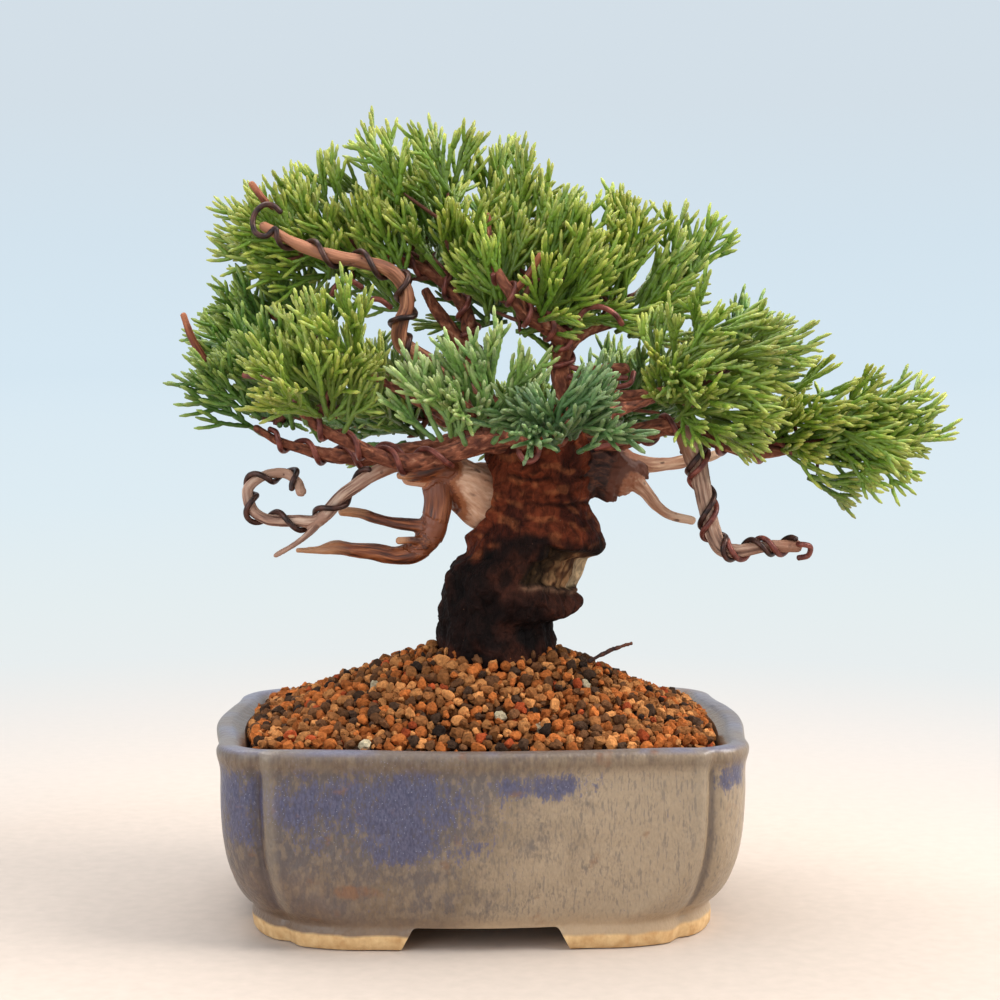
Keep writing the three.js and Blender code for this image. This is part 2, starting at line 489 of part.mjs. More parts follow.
// Wood grows in order: each later piece is cut clear of the ones before it and of the wire on them.
const wood = [{ name: 'trunk', solid: trunk(), clear: trunkSkin(GAP), colour: COLOURS.bark }];
function addWood(name, routes, colour, wires = []) {
  const solid = cutClear(grownTogether(routes), [...wood.map(({ clear }) => clear), ...wires]);
  wood.push({ name, solid, clear: grownTogether(routes, GAP), colour, routes });
}
for (const [name, route] of Object.entries(BRANCHES)) addWood(name, [route], COLOURS.bark);
const living = Object.values(BRANCHES);
const wireOnLiving = Object.values(WIRES).filter(({ on }) => living.includes(on))
  .map((wire) => woundWire(wire, GAP));
for (const [name, routes] of Object.entries(DEADWOOD)) addWood(name, routes, COLOURS.bone, wireOnLiving);
for (const { name, solid, colour } of wood) addPiece(name, solid, colour);

// Each wire is cut clear of the wood that it isn't wound on, and of the wound branches before its own. The
// dead wood has already made room for the wire on the living branches.
const wiredRoutes = Object.values(WIRES).map(({ on }) => branch(on, WIRED_ROUTE_ROOM, 8));
Object.entries(WIRES).forEach(([name, wire], i) => {
  const onLiving = living.includes(wire.on);
  const otherWood = wood.filter(({ name: woodName, routes }) => (
    !(routes && routes.includes(wire.on)) && !(onLiving && woodName in DEADWOOD)));
  const cutters = [...otherWood.map(({ clear }) => clear), ...wiredRoutes.slice(0, i)];
  addPiece(name, cutClear(woundWire(wire), cutters), COLOURS.wire);
});

// Foliage is cut clear of the wood, of the wire wound on it and of the pads before it.
const foliageCutters = [...wood.map(({ clear }) => clear), ...wiredRoutes];
for (const [name, shape] of Object.entries(PADS)) {
  addPiece(name, cutClear(pad(shape), foliageCutters), COLOURS.leaf);
  foliageCutters.push(pad(shape, GAP));
}

addPiece('pot', pot(), COLOURS.glaze);
for (const [side, x] of [['left', -DRAIN_X], ['right', DRAIN_X]]) {
  addPiece(`drain_mesh_${side}`, drainMesh(x), COLOURS.plastic);
  addPiece(`mesh_clip_${side}`, meshClip(x), COLOURS.softWire);
}
addPiece('anchor_wire', anchorWire(), COLOURS.softWire);
const buried = [-DRAIN_X, DRAIN_X].flatMap((x) => [drainMesh(x, GAP), meshClip(x, SOFT_WIRE_RADIUS + GAP)]);
addPiece('soil', soil([trunkSkin(GAP), anchorWire(SOFT_WIRE_RADIUS + GAP), ...buried]), COLOURS.soil);

const bounds = new THREE.Box3().setFromObject(tree);
const middle = bounds.getCenter(new THREE.Vector3());
tree.position.set(-middle.x, -middle.y, -bounds.min.z);

export default tree;
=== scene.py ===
import math

import bpy
import numpy as np
from mathutils import Matrix, Vector, kdtree, noise


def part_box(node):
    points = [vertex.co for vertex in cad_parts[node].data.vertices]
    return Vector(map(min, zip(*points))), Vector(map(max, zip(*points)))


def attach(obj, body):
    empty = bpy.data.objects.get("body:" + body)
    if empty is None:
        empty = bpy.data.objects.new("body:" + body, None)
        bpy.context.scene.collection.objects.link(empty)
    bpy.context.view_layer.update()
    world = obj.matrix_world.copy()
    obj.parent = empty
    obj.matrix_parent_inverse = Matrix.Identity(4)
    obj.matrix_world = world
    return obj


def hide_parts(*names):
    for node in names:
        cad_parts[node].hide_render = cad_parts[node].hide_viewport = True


# A small trained juniper in a four-lobed glazed pot, on a plain pale floor. Pieces are modelled in
# millimetres about the pot's centre at the surface it stands on, and settle() brings them to the row frame,
# which is in metres.

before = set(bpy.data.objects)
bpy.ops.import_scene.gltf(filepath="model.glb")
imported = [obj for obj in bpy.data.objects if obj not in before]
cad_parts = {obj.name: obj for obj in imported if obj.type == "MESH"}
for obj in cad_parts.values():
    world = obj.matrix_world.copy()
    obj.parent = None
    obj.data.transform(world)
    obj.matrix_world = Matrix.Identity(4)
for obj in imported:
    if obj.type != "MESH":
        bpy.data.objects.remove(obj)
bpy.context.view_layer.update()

MM = 0.001
pot_low, pot_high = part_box("pot")
POT_CENTRE = Vector(((pot_low.x + pot_high.x) / 2, (pot_low.y + pot_high.y) / 2, 0.0))
TO_ROW = Matrix.Translation(POT_CENTRE) @ Matrix.Scale(MM, 4)
chance = np.random.default_rng(7)

# ---------------------------------------------------------------- sizes, in millimetres

POT_HEIGHT = 40
POT_FLOOR_TOP = 10.5
POT_FLOOR_UNDERSIDE = 6.5
POT_TURN = math.radians(2)  # the pot stands slightly turned under the tree
# Half-sizes, corner radius and bow of the sides, and the turn in degrees, depth and width of each groove.
BODY_OUTLINE = {"half_x": 52.7, "half_y": 41.4, "corner": 12.5, "bow": 2.5,
                "groove_turn": 67.5, "groove": 1.5, "groove_width": 1.5}
FOOT_OUTLINE = {"half_x": 47.2, "half_y": 39.8, "corner": 23, "bow": 1.8,
                "groove_turn": 47, "groove": 1.2, "groove_width": 2.4}
INNER_OUTLINE = {"half_x": 47.8, "half_y": 36.6, "corner": 9, "bow": 1.6,
                 "groove_turn": 67.5, "groove": 0, "groove_width": 1}
# Height, share of the foot's outline in the body's, overhang and share of the groove's depth, up to the rim.
BODY_PROFILE = [
    (5.2, 1, 0, 0.8), (5.7, 0.97, 0.1, 0.8), (7, 0.8, 0.2, 0.9), (8.5, 0.64, 0.2, 1), (10.5, 0.47, 0.1, 1),
    (13, 0.32, 0, 1), (16, 0.19, 0, 1), (20, 0.09, 0, 1), (25, 0.03, 0, 1), (30, 0, 0, 1), (34.5, 0, 0, 1),
    (35.6, 0, 0.15, 0.9), (36.6, 0, 0.4, 0.7), (37.8, 0, 0.7, 0.5), (38.9, 0, 0.65, 0.4),
    (39.7, 0, 0.1, 0.2), (POT_HEIGHT, 0, -1.2, 0), (39.9, 0, -2.6, 0), (39.3, 0, -3.6, 0),
]
FOOT_GAP_BOTTOM = 33.6
FOOT_GAP_TOP = 28.5
FOOT_GAP_HEIGHT = 4.8
END_GAP_SHARE = 0.75
FOOT_RING_WIDTH = 7
DRAIN_X = 22
DRAIN_RADIUS = 6

SOIL_EDGE_HEIGHT = 39.2
SOIL_RISE = 17.4
SOIL_CLEARANCE = 0.4
GRAIN_RADIUS = (0.45, 1.5)
GRAINS_TRIED = 26000  # in each layer; those that would crowd another are left out
GRAIN_CELL = 3  # of the grid that finds the grains close by
BED_DROP = 1.6  # the soil bed's surface lies this far under the grains
ROOT_PRINT = (3, 12.5, 11.5)  # centre x and half-sizes of the ground that the trunk covers

# Trunk from the root base up: height, centre x, centre y, half-width x, half-depth y.
TRUNK = [
    (38, 3, 0, 11, 11), (42, 3, 0, 13, 12), (48, 3.2, 0, 13.8, 13), (55, 3.4, 0, 12.8, 12.4),
    (59.5, 3.2, 0, 12.5, 12), (60.8, 3.4, 0, 12.6, 12), (61.4, 4.4, 0, 13.8, 12.2),
    (62.2, 5.6, 0, 14.6, 12.5), (63.2, 6, 0, 14.9, 12.7), (64.5, 6, 0, 15, 12.7), (66, 5.9, 0, 14.8, 12.6),
    (67.2, 5.9, 0, 14.6, 12.5), (70.3, 7, 0, 15, 12.2), (73.4, 9, 0, 13.9, 12.2), (74, 9.3, 0, 13.9, 12.2),
    (74.7, 11, 0, 14.4, 12.5), (76, 11.9, 0, 14.4, 12.8), (78, 12.2, 0, 14.1, 12.6),
    (80.5, 12.7, 0, 13.2, 12.2), (82.5, 12.4, 0, 12.2, 11.6), (84.5, 12, 0, 11.4, 11),
    (92.5, 12.7, 0, 11, 10.4), (97, 12.8, 0, 10.7, 10.2), (101, 13.3, 0, 9.4, 9.2), (105, 13.3, 0, 6.5, 7),
]

# Living wood. Each route is a list of points on the branch: x, y, z and the radius there.
BRANCHES = {
    "branch_left": [
        (5.5, 2, 100.5, 2.38), (-2, 1, 99.5, 2.1), (-9.5, -1, 97.5, 1.89), (-16.5, -3, 96.5, 1.75),
        (-24, -6, 95.5, 1.61), (-30.5, -8, 96, 1.4), (-36.5, -10, 97.5, 1.12), (-42, -12, 99.5, 0.91),
        (-46, -14, 102, 0.77)],
    "branch_left_front": [
        (7, -5, 99.5, 2.38), (0, -8, 98.5, 2.1), (-6.5, -11, 96.5, 1.89), (-13, -13, 95, 1.75),
        (-18.5, -15, 95.5, 1.54), (-24, -18, 98, 1.33), (-29, -21, 100.5, 1.12), (-33.5, -24, 103.5, 0.98),
        (-36.5, -27, 107.5, 0.84), (-38.5, -29, 111, 0.7)],
    "branch_left_back": [
        (5, 8, 101, 2.1), (-5.5, 12, 103.5, 1.82), (-13.5, 14, 107.5, 1.54), (-23.5, 16, 113, 1.26),
        (-34, 16, 119, 1.05), (-42.5, 15, 124, 0.84), (-49.5, 15, 127.5, 0.7)],
    "stem_left": [
        (8.5, 4, 100.5, 2.94), (4.5, 4, 103, 2.52), (0.5, 4, 107.5, 2.24), (-2, 4, 112, 2.03),
        (-2.5, 4, 117, 1.96), (-2.5, 4, 121, 1.68), (-3, 4, 126, 1.4), (-6.5, 4, 131, 1.26),
        (-12.5, 4, 135.5, 1.12), (-21, 4, 138, 0.98), (-29.5, 3, 141.5, 0.84), (-37, 2, 145, 0.7)],
    "stem_left_fork": [
        (-2, 4, 117, 1.54), (-6, 3, 122, 1.33), (-9.5, 2, 127, 1.19), (-11.5, 0, 130.5, 0.98)],
    "stem_right": [
        (16, 0, 100.5, 2.94), (18.5, 0, 106, 2.38), (17.5, 0, 110.5, 1.96), (17, -1, 115.5, 1.89),
        (17.5, -3, 119.5, 1.89), (14.5, -6, 122.5, 1.68), (9.5, -10, 125.5, 1.47), (6.5, -13, 129.5, 1.19),
        (3.5, -12, 134.5, 0.98), (2, -9, 140, 0.84), (1.5, -6, 146, 0.7)],
    "stem_right_fork": [
        (18, -2, 119, 1.54), (22, 1, 122, 1.33), (27, 4, 124, 1.12), (32.5, 8, 128.5, 0.98),
        (38, 11, 134, 0.77)],
    "stem_right_back": [
        (17, 0, 118, 1.54), (16.5, 8, 122.5, 1.26), (14, 17, 126.5, 0.98), (11, 25, 131.5, 0.77)],
    "branch_right_middle": [
        (19, -3, 106, 1.4), (24.5, -8, 108, 1.25), (30.5, -13, 108.5, 1.15), (37, -17, 109.5, 1),
        (44, -20, 112, 0.84)],
    "branch_right": [
        (21, 0, 100, 2.66), (28, -3, 99.5, 2.24), (33.5, -5, 100.5, 1.96), (39, -7, 102, 1.75),
        (45.5, -7, 100.5, 1.54), (52, -6, 98, 1.4), (58, -5, 96.5, 1.19), (64, -4, 97, 1.05),
        (70.5, -3, 98.5, 0.84), (78, -2, 100.5, 0.7), (84.5, -2, 101.5, 0.56)],
    "branch_right_back": [
        (20, 6, 101, 1.6), (33, 13, 106, 1.3), (46, 19, 111, 1.1), (57, 22, 115.5, 0.91),
        (64, 23, 117.5, 0.77)],
    "branch_front_left": [
        (10, -7, 99, 1.82), (5.5, -19, 100.5, 1.4), (1, -29, 104, 1.05), (-3, -36, 107.5, 0.77)],
    "branch_front_right": [
        (15, -7, 99, 1.68), (17, -22, 100.5, 1.26), (17.5, -34, 102.5, 0.91), (17.5, -40, 104, 0.7)],
    "branch_back_left": [
        (6, 8, 97, 1.82), (-3, 18, 100, 1.47), (-11, 26, 103.5, 1.12), (-18, 32, 106, 0.77)],
    "branch_back": [(14, 8, 98, 1.96), (13.5, 22, 99, 1.54), (11.5, 34, 100.5, 1.19), (9.5, 41, 102, 0.84)],
    "branch_back_right": [
        (19, 7, 96, 1.82), (26, 20, 100, 1.4), (30.5, 31, 104, 1.05), (33, 37, 107, 0.77)],
    "bark_stub": [(19.5, -2, 111, 1.2), (23.5, -4, 113, 1.4), (27, -6, 113.8, 1.4), (30.5, -8, 114, 1.1)],
}

# Dead wood, stripped of its bark. A piece is one route or several that grow together, each with its finish.
DEADWOOD = {
    "deadwood_left": [
        ("pale", [
            (4.5, 3, 86.5, 7.2), (0.5, 1, 87.2, 7.2), (-2.5, -1.5, 89, 5.6), (-5.5, -3.5, 91, 4.2),
            (-10, -6, 92, 3.2), (-15.5, -8, 91.5, 1.6)]),
        ("amber", [
            (-9.5, -6, 92, 2.9), (-9, -6, 87.5, 2.8), (-9.5, -6, 82.5, 2.8), (-11, -6, 78.5, 2.7),
            (-13.5, -6.5, 76, 2.3), (-17.5, -7, 75, 2), (-22, -8, 76, 1.8), (-26.5, -9, 76.5, 1.5),
            (-30, -9.5, 77, 1.5), (-33.5, -10, 76.5, 0.9), (-38, -10.5, 76.5, 0.6)]),
        ("amber", [
            (-10, -6, 81, 1.6), (-18, -7, 82, 1.2), (-22, -7.5, 83, 1.1), (-25, -8, 84, 1),
            (-29, -8.5, 84.5, 1)]),
        ("amber", [(-11, -6, 77.5, 1.2), (-14, -9, 78.5, 0.9), (-17, -10.5, 78.5, 0.8)]),
        ("amber", [
            (-8, -7.5, 94, 1.6), (-11.3, -9.4, 93.4, 1.9), (-14.3, -10.3, 92.6, 1.6),
            (-16.8, -10.8, 92, 0.8)]),
    ],
    "deadwood_coiled": [
        ("coil", [
            (-15, -11.5, 95, 1.6), (-18, -11.8, 94.3, 1.5), (-21.5, -12.5, 92.6, 1.4),
            (-24.5, -13.5, 90.8, 1.3), (-28.5, -15, 88, 1.3), (-31, -15.5, 85, 1.3), (-33.5, -16, 83, 1.3),
            (-37, -16, 83, 1.2), (-40.5, -16, 83, 1.15), (-44, -16, 83.5, 1.1), (-46.5, -15.5, 85, 1.1),
            (-47.5, -15, 87.5, 1.1), (-47.5, -14.5, 89.5, 1.05), (-45.5, -14, 91.5, 1),
            (-43, -13.5, 92.5, 1), (-40, -13, 92.5, 1), (-37.5, -14.5, 91, 1), (-36.5, -17, 89, 1)]),
        ("coil", [
            (-32, -15.5, 84, 0.9), (-34.5, -16.5, 81, 0.7), (-37.5, -17, 78.5, 0.6),
            (-42, -17.5, 76, 0.5)]),
    ],
    "deadwood_upper_left": [
        ("tawny", [
            (0.5, 3, 107, 1.9), (-2.5, -3, 109, 1.9), (-6, -9, 112, 1.9), (-13, -10, 117, 1.8),
            (-16.5, -11, 120, 1.6), (-16, -12, 124, 1.5), (-15, -12, 127, 1.45), (-15.5, -12, 131, 1.4),
            (-18, -12, 134, 1.4), (-23.5, -12, 136, 1.35), (-29, -12, 137, 1.3), (-34.5, -12, 138.5, 1.2),
            (-40, -12, 141, 1.1), (-44.5, -12, 143.5, 1)]),
    ],
    "deadwood_right": [
        ("char", [
            (19, 2, 92.5, 5.8), (24, 2, 92.8, 5.3), (28.5, 2, 92.2, 5.4), (31.5, 2, 92.4, 4.7),
            (33.8, 2, 92.8, 2.8)]),
        ("bone", [
            (32.5, 2, 94, 2), (37.5, 3, 93.5, 1.4), (43, 5, 94, 1.3), (49, 7, 95, 1), (52, 8, 96, 0.8)]),
        ("bone", [
            (32, 1, 90.8, 2.1), (35, 0, 88, 1.35), (37.5, -1, 85, 1.2), (40.5, -2, 83, 1),
            (45, -3, 82, 0.9)]),
    ],
    "deadwood_drooping": [
        ("grey", [
            (43, -9, 100.5, 2.2), (43.8, -11.5, 98.4, 2.2), (44.8, -12.3, 95.5, 1.95),
            (45.6, -12, 92, 1.65), (46.4, -12, 87.5, 1.5), (47.5, -12, 83, 1.4), (48.5, -12, 79.5, 1.5),
            (50, -12, 77.2, 1.4), (53, -12, 76.5, 1.2), (56.5, -12, 77, 1.15), (59.5, -12, 77.5, 1.1),
            (62.5, -12, 77.5, 1.1), (66, -12, 77.5, 1.1)]),
    ],
}

WIRE_RADIUS = 0.6
WIRE_SIDES = 10
LIMB_SIDES = 16
# Sizes of the voxels that join the routes of a piece.
BARK_VOXEL = 0.42
DEADWOOD_VOXEL = 0.34
SPRIG_VOXEL = 0.3

# Training wires: the route each is wound on, turns, the shares of the route where it starts and ends, its
# start angle, its finish and the points of a free tail.
WIRES = {
    "wire_branch_left": [(BRANCHES["branch_left"], 4, 0.3, 0.95, 0, "copper")],
    "wire_branch_left_front": [(BRANCHES["branch_left_front"], 4.5, 0.22, 0.97, 2, "copper")],
    "wire_stem_left": [(BRANCHES["stem_left"], 6, 0.24, 0.8, 1, "copper")],
    "wire_stem_right": [(BRANCHES["stem_right"], 6, 0.22, 0.8, 4, "copper")],
    "wire_branch_right": [(BRANCHES["branch_right"], 5.5, 0.2, 0.9, 3, "copper")],
    "wire_coiled": [(DEADWOOD["deadwood_coiled"][0][1], 5.2, 0.13, 0.99, 4, "dark")],
    "wire_upper_left": [(DEADWOOD["deadwood_upper_left"][0][1], 5.4, 0.22, 0.96, 1.6, "dark",
                         [(-43.6, -13.8, 141.2), (-45.6, -13.8, 141.8), (-46.4, -13, 144),
                          (-45.8, -12.5, 146.2), (-44.2, -12.3, 147.6), (-42.4, -12, 147.6),
                          (-40.8, -11.5, 146.2)])],
    "wire_drooping": [(DEADWOOD["deadwood_drooping"][0][1], 4.2, 0.1, 1, 0.6, "dark"),
                      (DEADWOOD["deadwood_drooping"][0][1], 4.2, 0.06, 0.98, 4.6, "copper",
                       [(66.5, -14, 78), (68.2, -13.5, 77.5), (68, -12, 75.5), (66, -11.8, 75)])],
}

# Loose ends and short loops of copper wire, and thin twigs and stubs that show among the shoots.
LOOSE_WIRES = [
    [(20, -9, 124), (22, -10, 126.4), (25, -10.5, 126.9), (28, -10, 125.3), (29.5, -9, 123.3)],
    [(-47, -26, 113), (-44, -27.5, 112.6), (-40, -28, 112), (-37.5, -26.5, 111)],
    [(-31, -5, 129.5), (-29.5, -6, 131.8), (-27, -6.5, 132.4), (-24.5, -5.5, 131)],
    [(-25, -5, 126), (-23.5, -6, 128.2), (-21, -6.3, 128.5), (-18.5, -5.5, 126.8)],
    [(8, -12.2, 99), (8.3, -12.8, 96.5), (9.8, -13.2, 95), (11.6, -13, 95.8), (12.2, -12.7, 98),
     (11, -12.2, 99.5)],
    [(19, -6.5, 114.5), (23, -8, 113.2), (27, -9.2, 112.4), (30.5, -9.6, 112.2)],
    [(18.5, -7, 112.5), (23, -9, 111), (27, -10, 110.4), (31, -9.8, 111), (32, -8, 113.4)],
    [(24, -8, 97.5), (27, -9, 98.3), (30.5, -7.5, 99), (31.5, -4, 99.5)],
]
SPRIGS = {
    "stem_right_twig": ("twigbark", [
        (6.5, -13, 129.5, 0.8), (9.5, -14.5, 132.5, 0.7), (12.5, -15.5, 137.5, 0.6)]),
    "tip_left": ("twigbark", [(-56.5, -13, 116, 0.8), (-58.9, -14, 120.4, 0.75), (-60.7, -14, 125.3, 0.6)]),
    "soil_twig": ("char", [(23, -6, 52.6, 0.4), (27.5, -6.5, 55, 0.33), (32, -7, 56.6, 0.24)]),
    "tip_upper_left": ("twigbark", [
        (-42.5, -7, 146.5, 0.8), (-44.7, -8, 149.1, 0.75), (-47.2, -8.5, 152.4, 0.6)]),
}

# Foliage pads: centre, half-sizes, the point that the twigs fan out from, the tint of the shoots, how sparse
# they are, and how far they turn up.
PADS = {
    "upper_left": ((-40.5, 2, 143), (16, 13, 10), (-30, 3, 139), "fresh", 1, 0.25),
    "top": ((-10, 5, 149.5), (28, 17, 15.5), (-7, 4, 134), "fresh", 1.15, 0.35),
    "crown": ((13.5, -3, 138), (19, 13, 14.5), (8, -8, 127), "fresh", 1.2, 0.3),
    "crown_back": ((5, 27, 138.5), (18, 12, 12), (10, 22, 130), "deep", 1.1, 0.3),
    "upper_right": ((31.5, 8, 137), (19.5, 13, 16), (29, 6, 126), "fresh", 1.4, 0.45),
    "right_front": ((48, -18, 113), (17, 13, 15.5), (40, -16, 108), "light", 1.3, -0.1),
    "right_back": ((59, 22, 116), (12, 12, 11), (56, 21, 114), "deep", 1.1, 0.2),
    "right": ((74.5, -2, 98), (17, 12, 13.5), (60, -2, 98), "fresh", 1.45, -0.05),
    "right_end": ((85.5, -3, 101.5), (14, 7, 4), (72, -2, 98), "fresh", 2.8, 0.05),
    "left_back": ((-48, 15, 125), (13.5, 12, 10.5), (-42, 15, 121), "deep", 1, 0.2),
    "left": ((-48, -13, 115), (13.5, 12, 13), (-42, -12, 103), "deep", 1.2, 0.25),
    "left_front": ((-32, -31, 116), (14.5, 11.5, 12), (-32, -24, 105), "light", 1.5, 0.35),
    "front_left": ((-2.5, -36, 110), (15.5, 9.5, 8), (1, -30, 102), "blue", 2.5, 0.1),
    "front_right": ((19, -40, 105.5), (14.5, 8, 6), (16, -33, 101), "teal", 2.5, 0.0),
    "back_left": ((-22, 36, 109), (17.5, 15, 10), (-12, 27, 103), "deep", 1.1, 0.2),
    "back": ((9, 44, 102), (15.5, 13, 9), (12, 33, 99), "deep", 1.1, 0.2),
    "back_right": ((37, 38, 109), (16.5, 14, 10), (30, 29, 103), "deep", 1.1, 0.2),
}
HEART = np.array([6, 0, 98])  # where the branches spread from
PAD_POWER = 2.7  # 2 makes a pad round, and more makes it boxier
PAD_LAYERS = ((1.0, 1.0), (0.6, 0.4))  # how far out, and the share of tufts there
TUFT_AREA = 185  # surface of a pad for one tuft of sprays
TUFT_SPRAYS = 4
SPRAY_LENGTH = (13, 23)
SHOOT_RADIUS = 0.59
SIDE_SHOOT_GAP = (2.8, 3.8)
SIDE_SHOOT_TURN = (20, 38)  # degrees away from the leading shoot
SIDE_SHOOT_REACH = (2.8, 13)
LONG_SHOOT = 4.5  # a shorter one gets the shape with fewer bands
FORKS_FROM = (5, 8)  # a side shoot longer than each of these has one more fork
FORK_TURN = 0.58  # radians


# ---------------------------------------------------------------- finishes

def colour(red, green, blue):
    """An 8-bit screen colour as the linear colour that a shader takes."""
    shares = (red / 255, green / 255, blue / 255)
    linear = [share / 12.92 if share <= 0.04 else ((share + 0.055) / 1.055) ** 2.4 for share in shares]
    return (*linear, 1.0)


class Value:
    """An output of a node. Sums and products of values become maths nodes."""

    def __init__(self, graph, socket):
        self.graph = graph
        self.socket = socket

    def __add__(self, other):
        return self.graph.maths("ADD", self, other)

    def __sub__(self, other):
        return self.graph.maths("SUBTRACT", self, other)

    def __rsub__(self, other):
        return self.graph.maths("SUBTRACT", other, self)

    def __mul__(self, other):
        return self.graph.maths("MULTIPLY", self, other)

    def __truediv__(self, other):
        return self.graph.maths("DIVIDE", self, other)


class Graph:
    """The nodes of a material or of the sky, built by one call for each node. Colours are 8-bit triples."""

    def __init__(self, owner):
        owner.use_nodes = True
        self.nodes = owner.node_tree.nodes
        self.links = owner.node_tree.links

    def fill(self, node, inputs):
        for name, value in inputs.items():
            if isinstance(value, Value):
                self.links.new(value.socket, node.inputs[name])
            else:
                node.inputs[name].default_value = value

    def add(self, kind, inputs, output=0, **settings):
        """Adds a node, and gives one of its outputs."""
        node = self.nodes.new("ShaderNode" + kind)
        for name, value in settings.items():
            setattr(node, name, value)
        self.fill(node, inputs)
        return Value(self, node.outputs[output])

    def axes(self, vector):
        return [Value(self, axis) for axis in self.add("SeparateXYZ", {0: vector}).socket.node.outputs]

    def noise(self, vector, scale=1.0, detail=3.0, distortion=0.0):
        inputs = {"Vector": vector, "Scale": scale, "Detail": detail, "Distortion": distortion}
        return self.add("TexNoise", inputs, "Fac")

    def cells(self, vector, scale):
        """Distance from the nearest of many scattered points."""
        return self.add("TexVoronoi", {"Vector": vector, "Scale": scale}, "Distance")

    def ramp(self, value, *stops):
        """A colour, or a level if the stops are numbers, by value: each stop is (place, colour or number)."""
        ramp = self.add("ValToRGB", {"Fac": value})
        elements = ramp.socket.node.color_ramp.elements
        while len(elements) < len(stops):
            elements.new(0.5)
        for element, (place, shade) in zip(elements, stops):
            element.position = place
            element.color = colour(*shade) if isinstance(shade, tuple) else (shade, shade, shade, 1)
        return ramp

    def mix(self, factor, under, over, blend="MIX"):
        under, over = (colour(*shade) if isinstance(shade, tuple) else shade for shade in (under, over))
        return self.add("Mix", {0: factor, 6: under, 7: over}, 2, data_type="RGBA", blend_type=blend)

    def tone(self, shade, value, *stops):
        """A shade times a ramp."""
        return self.mix(1.0, shade, self.ramp(value, *stops), "MULTIPLY")

    def maths(self, operation, a, b=0.0, clamp=False):
        return self.add("Math", {0: a, 1: b}, operation=operation, use_clamp=clamp)


class Finish(Graph):
    """A material, with the surface shader that it starts with."""

    def __init__(self, name, roughness=0.6, **constants):
        self.material = bpy.data.materials.new(name)
        super().__init__(self.material)
        self.shader = self.nodes["Principled BSDF"]
        self.set(roughness=roughness, **constants)

    def set(self, **inputs):
        """Sets or links inputs of the surface shader, named as words joined by underscores."""
        self.fill(self.shader, {name.replace("_", " ").title().replace("Ior", "IOR"): value
                                for name, value in inputs.items()})

    def mesh(self, name, output="Fac"):
        """A value that is stored on the mesh."""
        return self.add("Attribute", {}, output, attribute_name=name)

    def place(self, scale=(1, 1, 1)):
        """Object coordinates in millimetres about the pot's centre, times a scale."""
        away = self.add("VectorMath", {0: self.add("TexCoord", {}, "Object"), 1: [-c for c in POT_CENTRE]},
                        operation="ADD")
        return self.add("VectorMath", {0: away, 1: [s / MM for s in scale]}, operation="MULTIPLY")

    def grain(self, scale):
        """A piece's own coordinates across and along the wood, in millimetres, times a scale."""
        return self.add("VectorMath", {0: self.mesh("grain", "Vector"), 1: scale}, operation="MULTIPLY")

    def bump(self, height, depth):
        """Relief of the given depth in millimetres."""
        self.set(normal=self.add("Bump", {"Height": height, "Distance": depth * MM, "Strength": 1.0}))


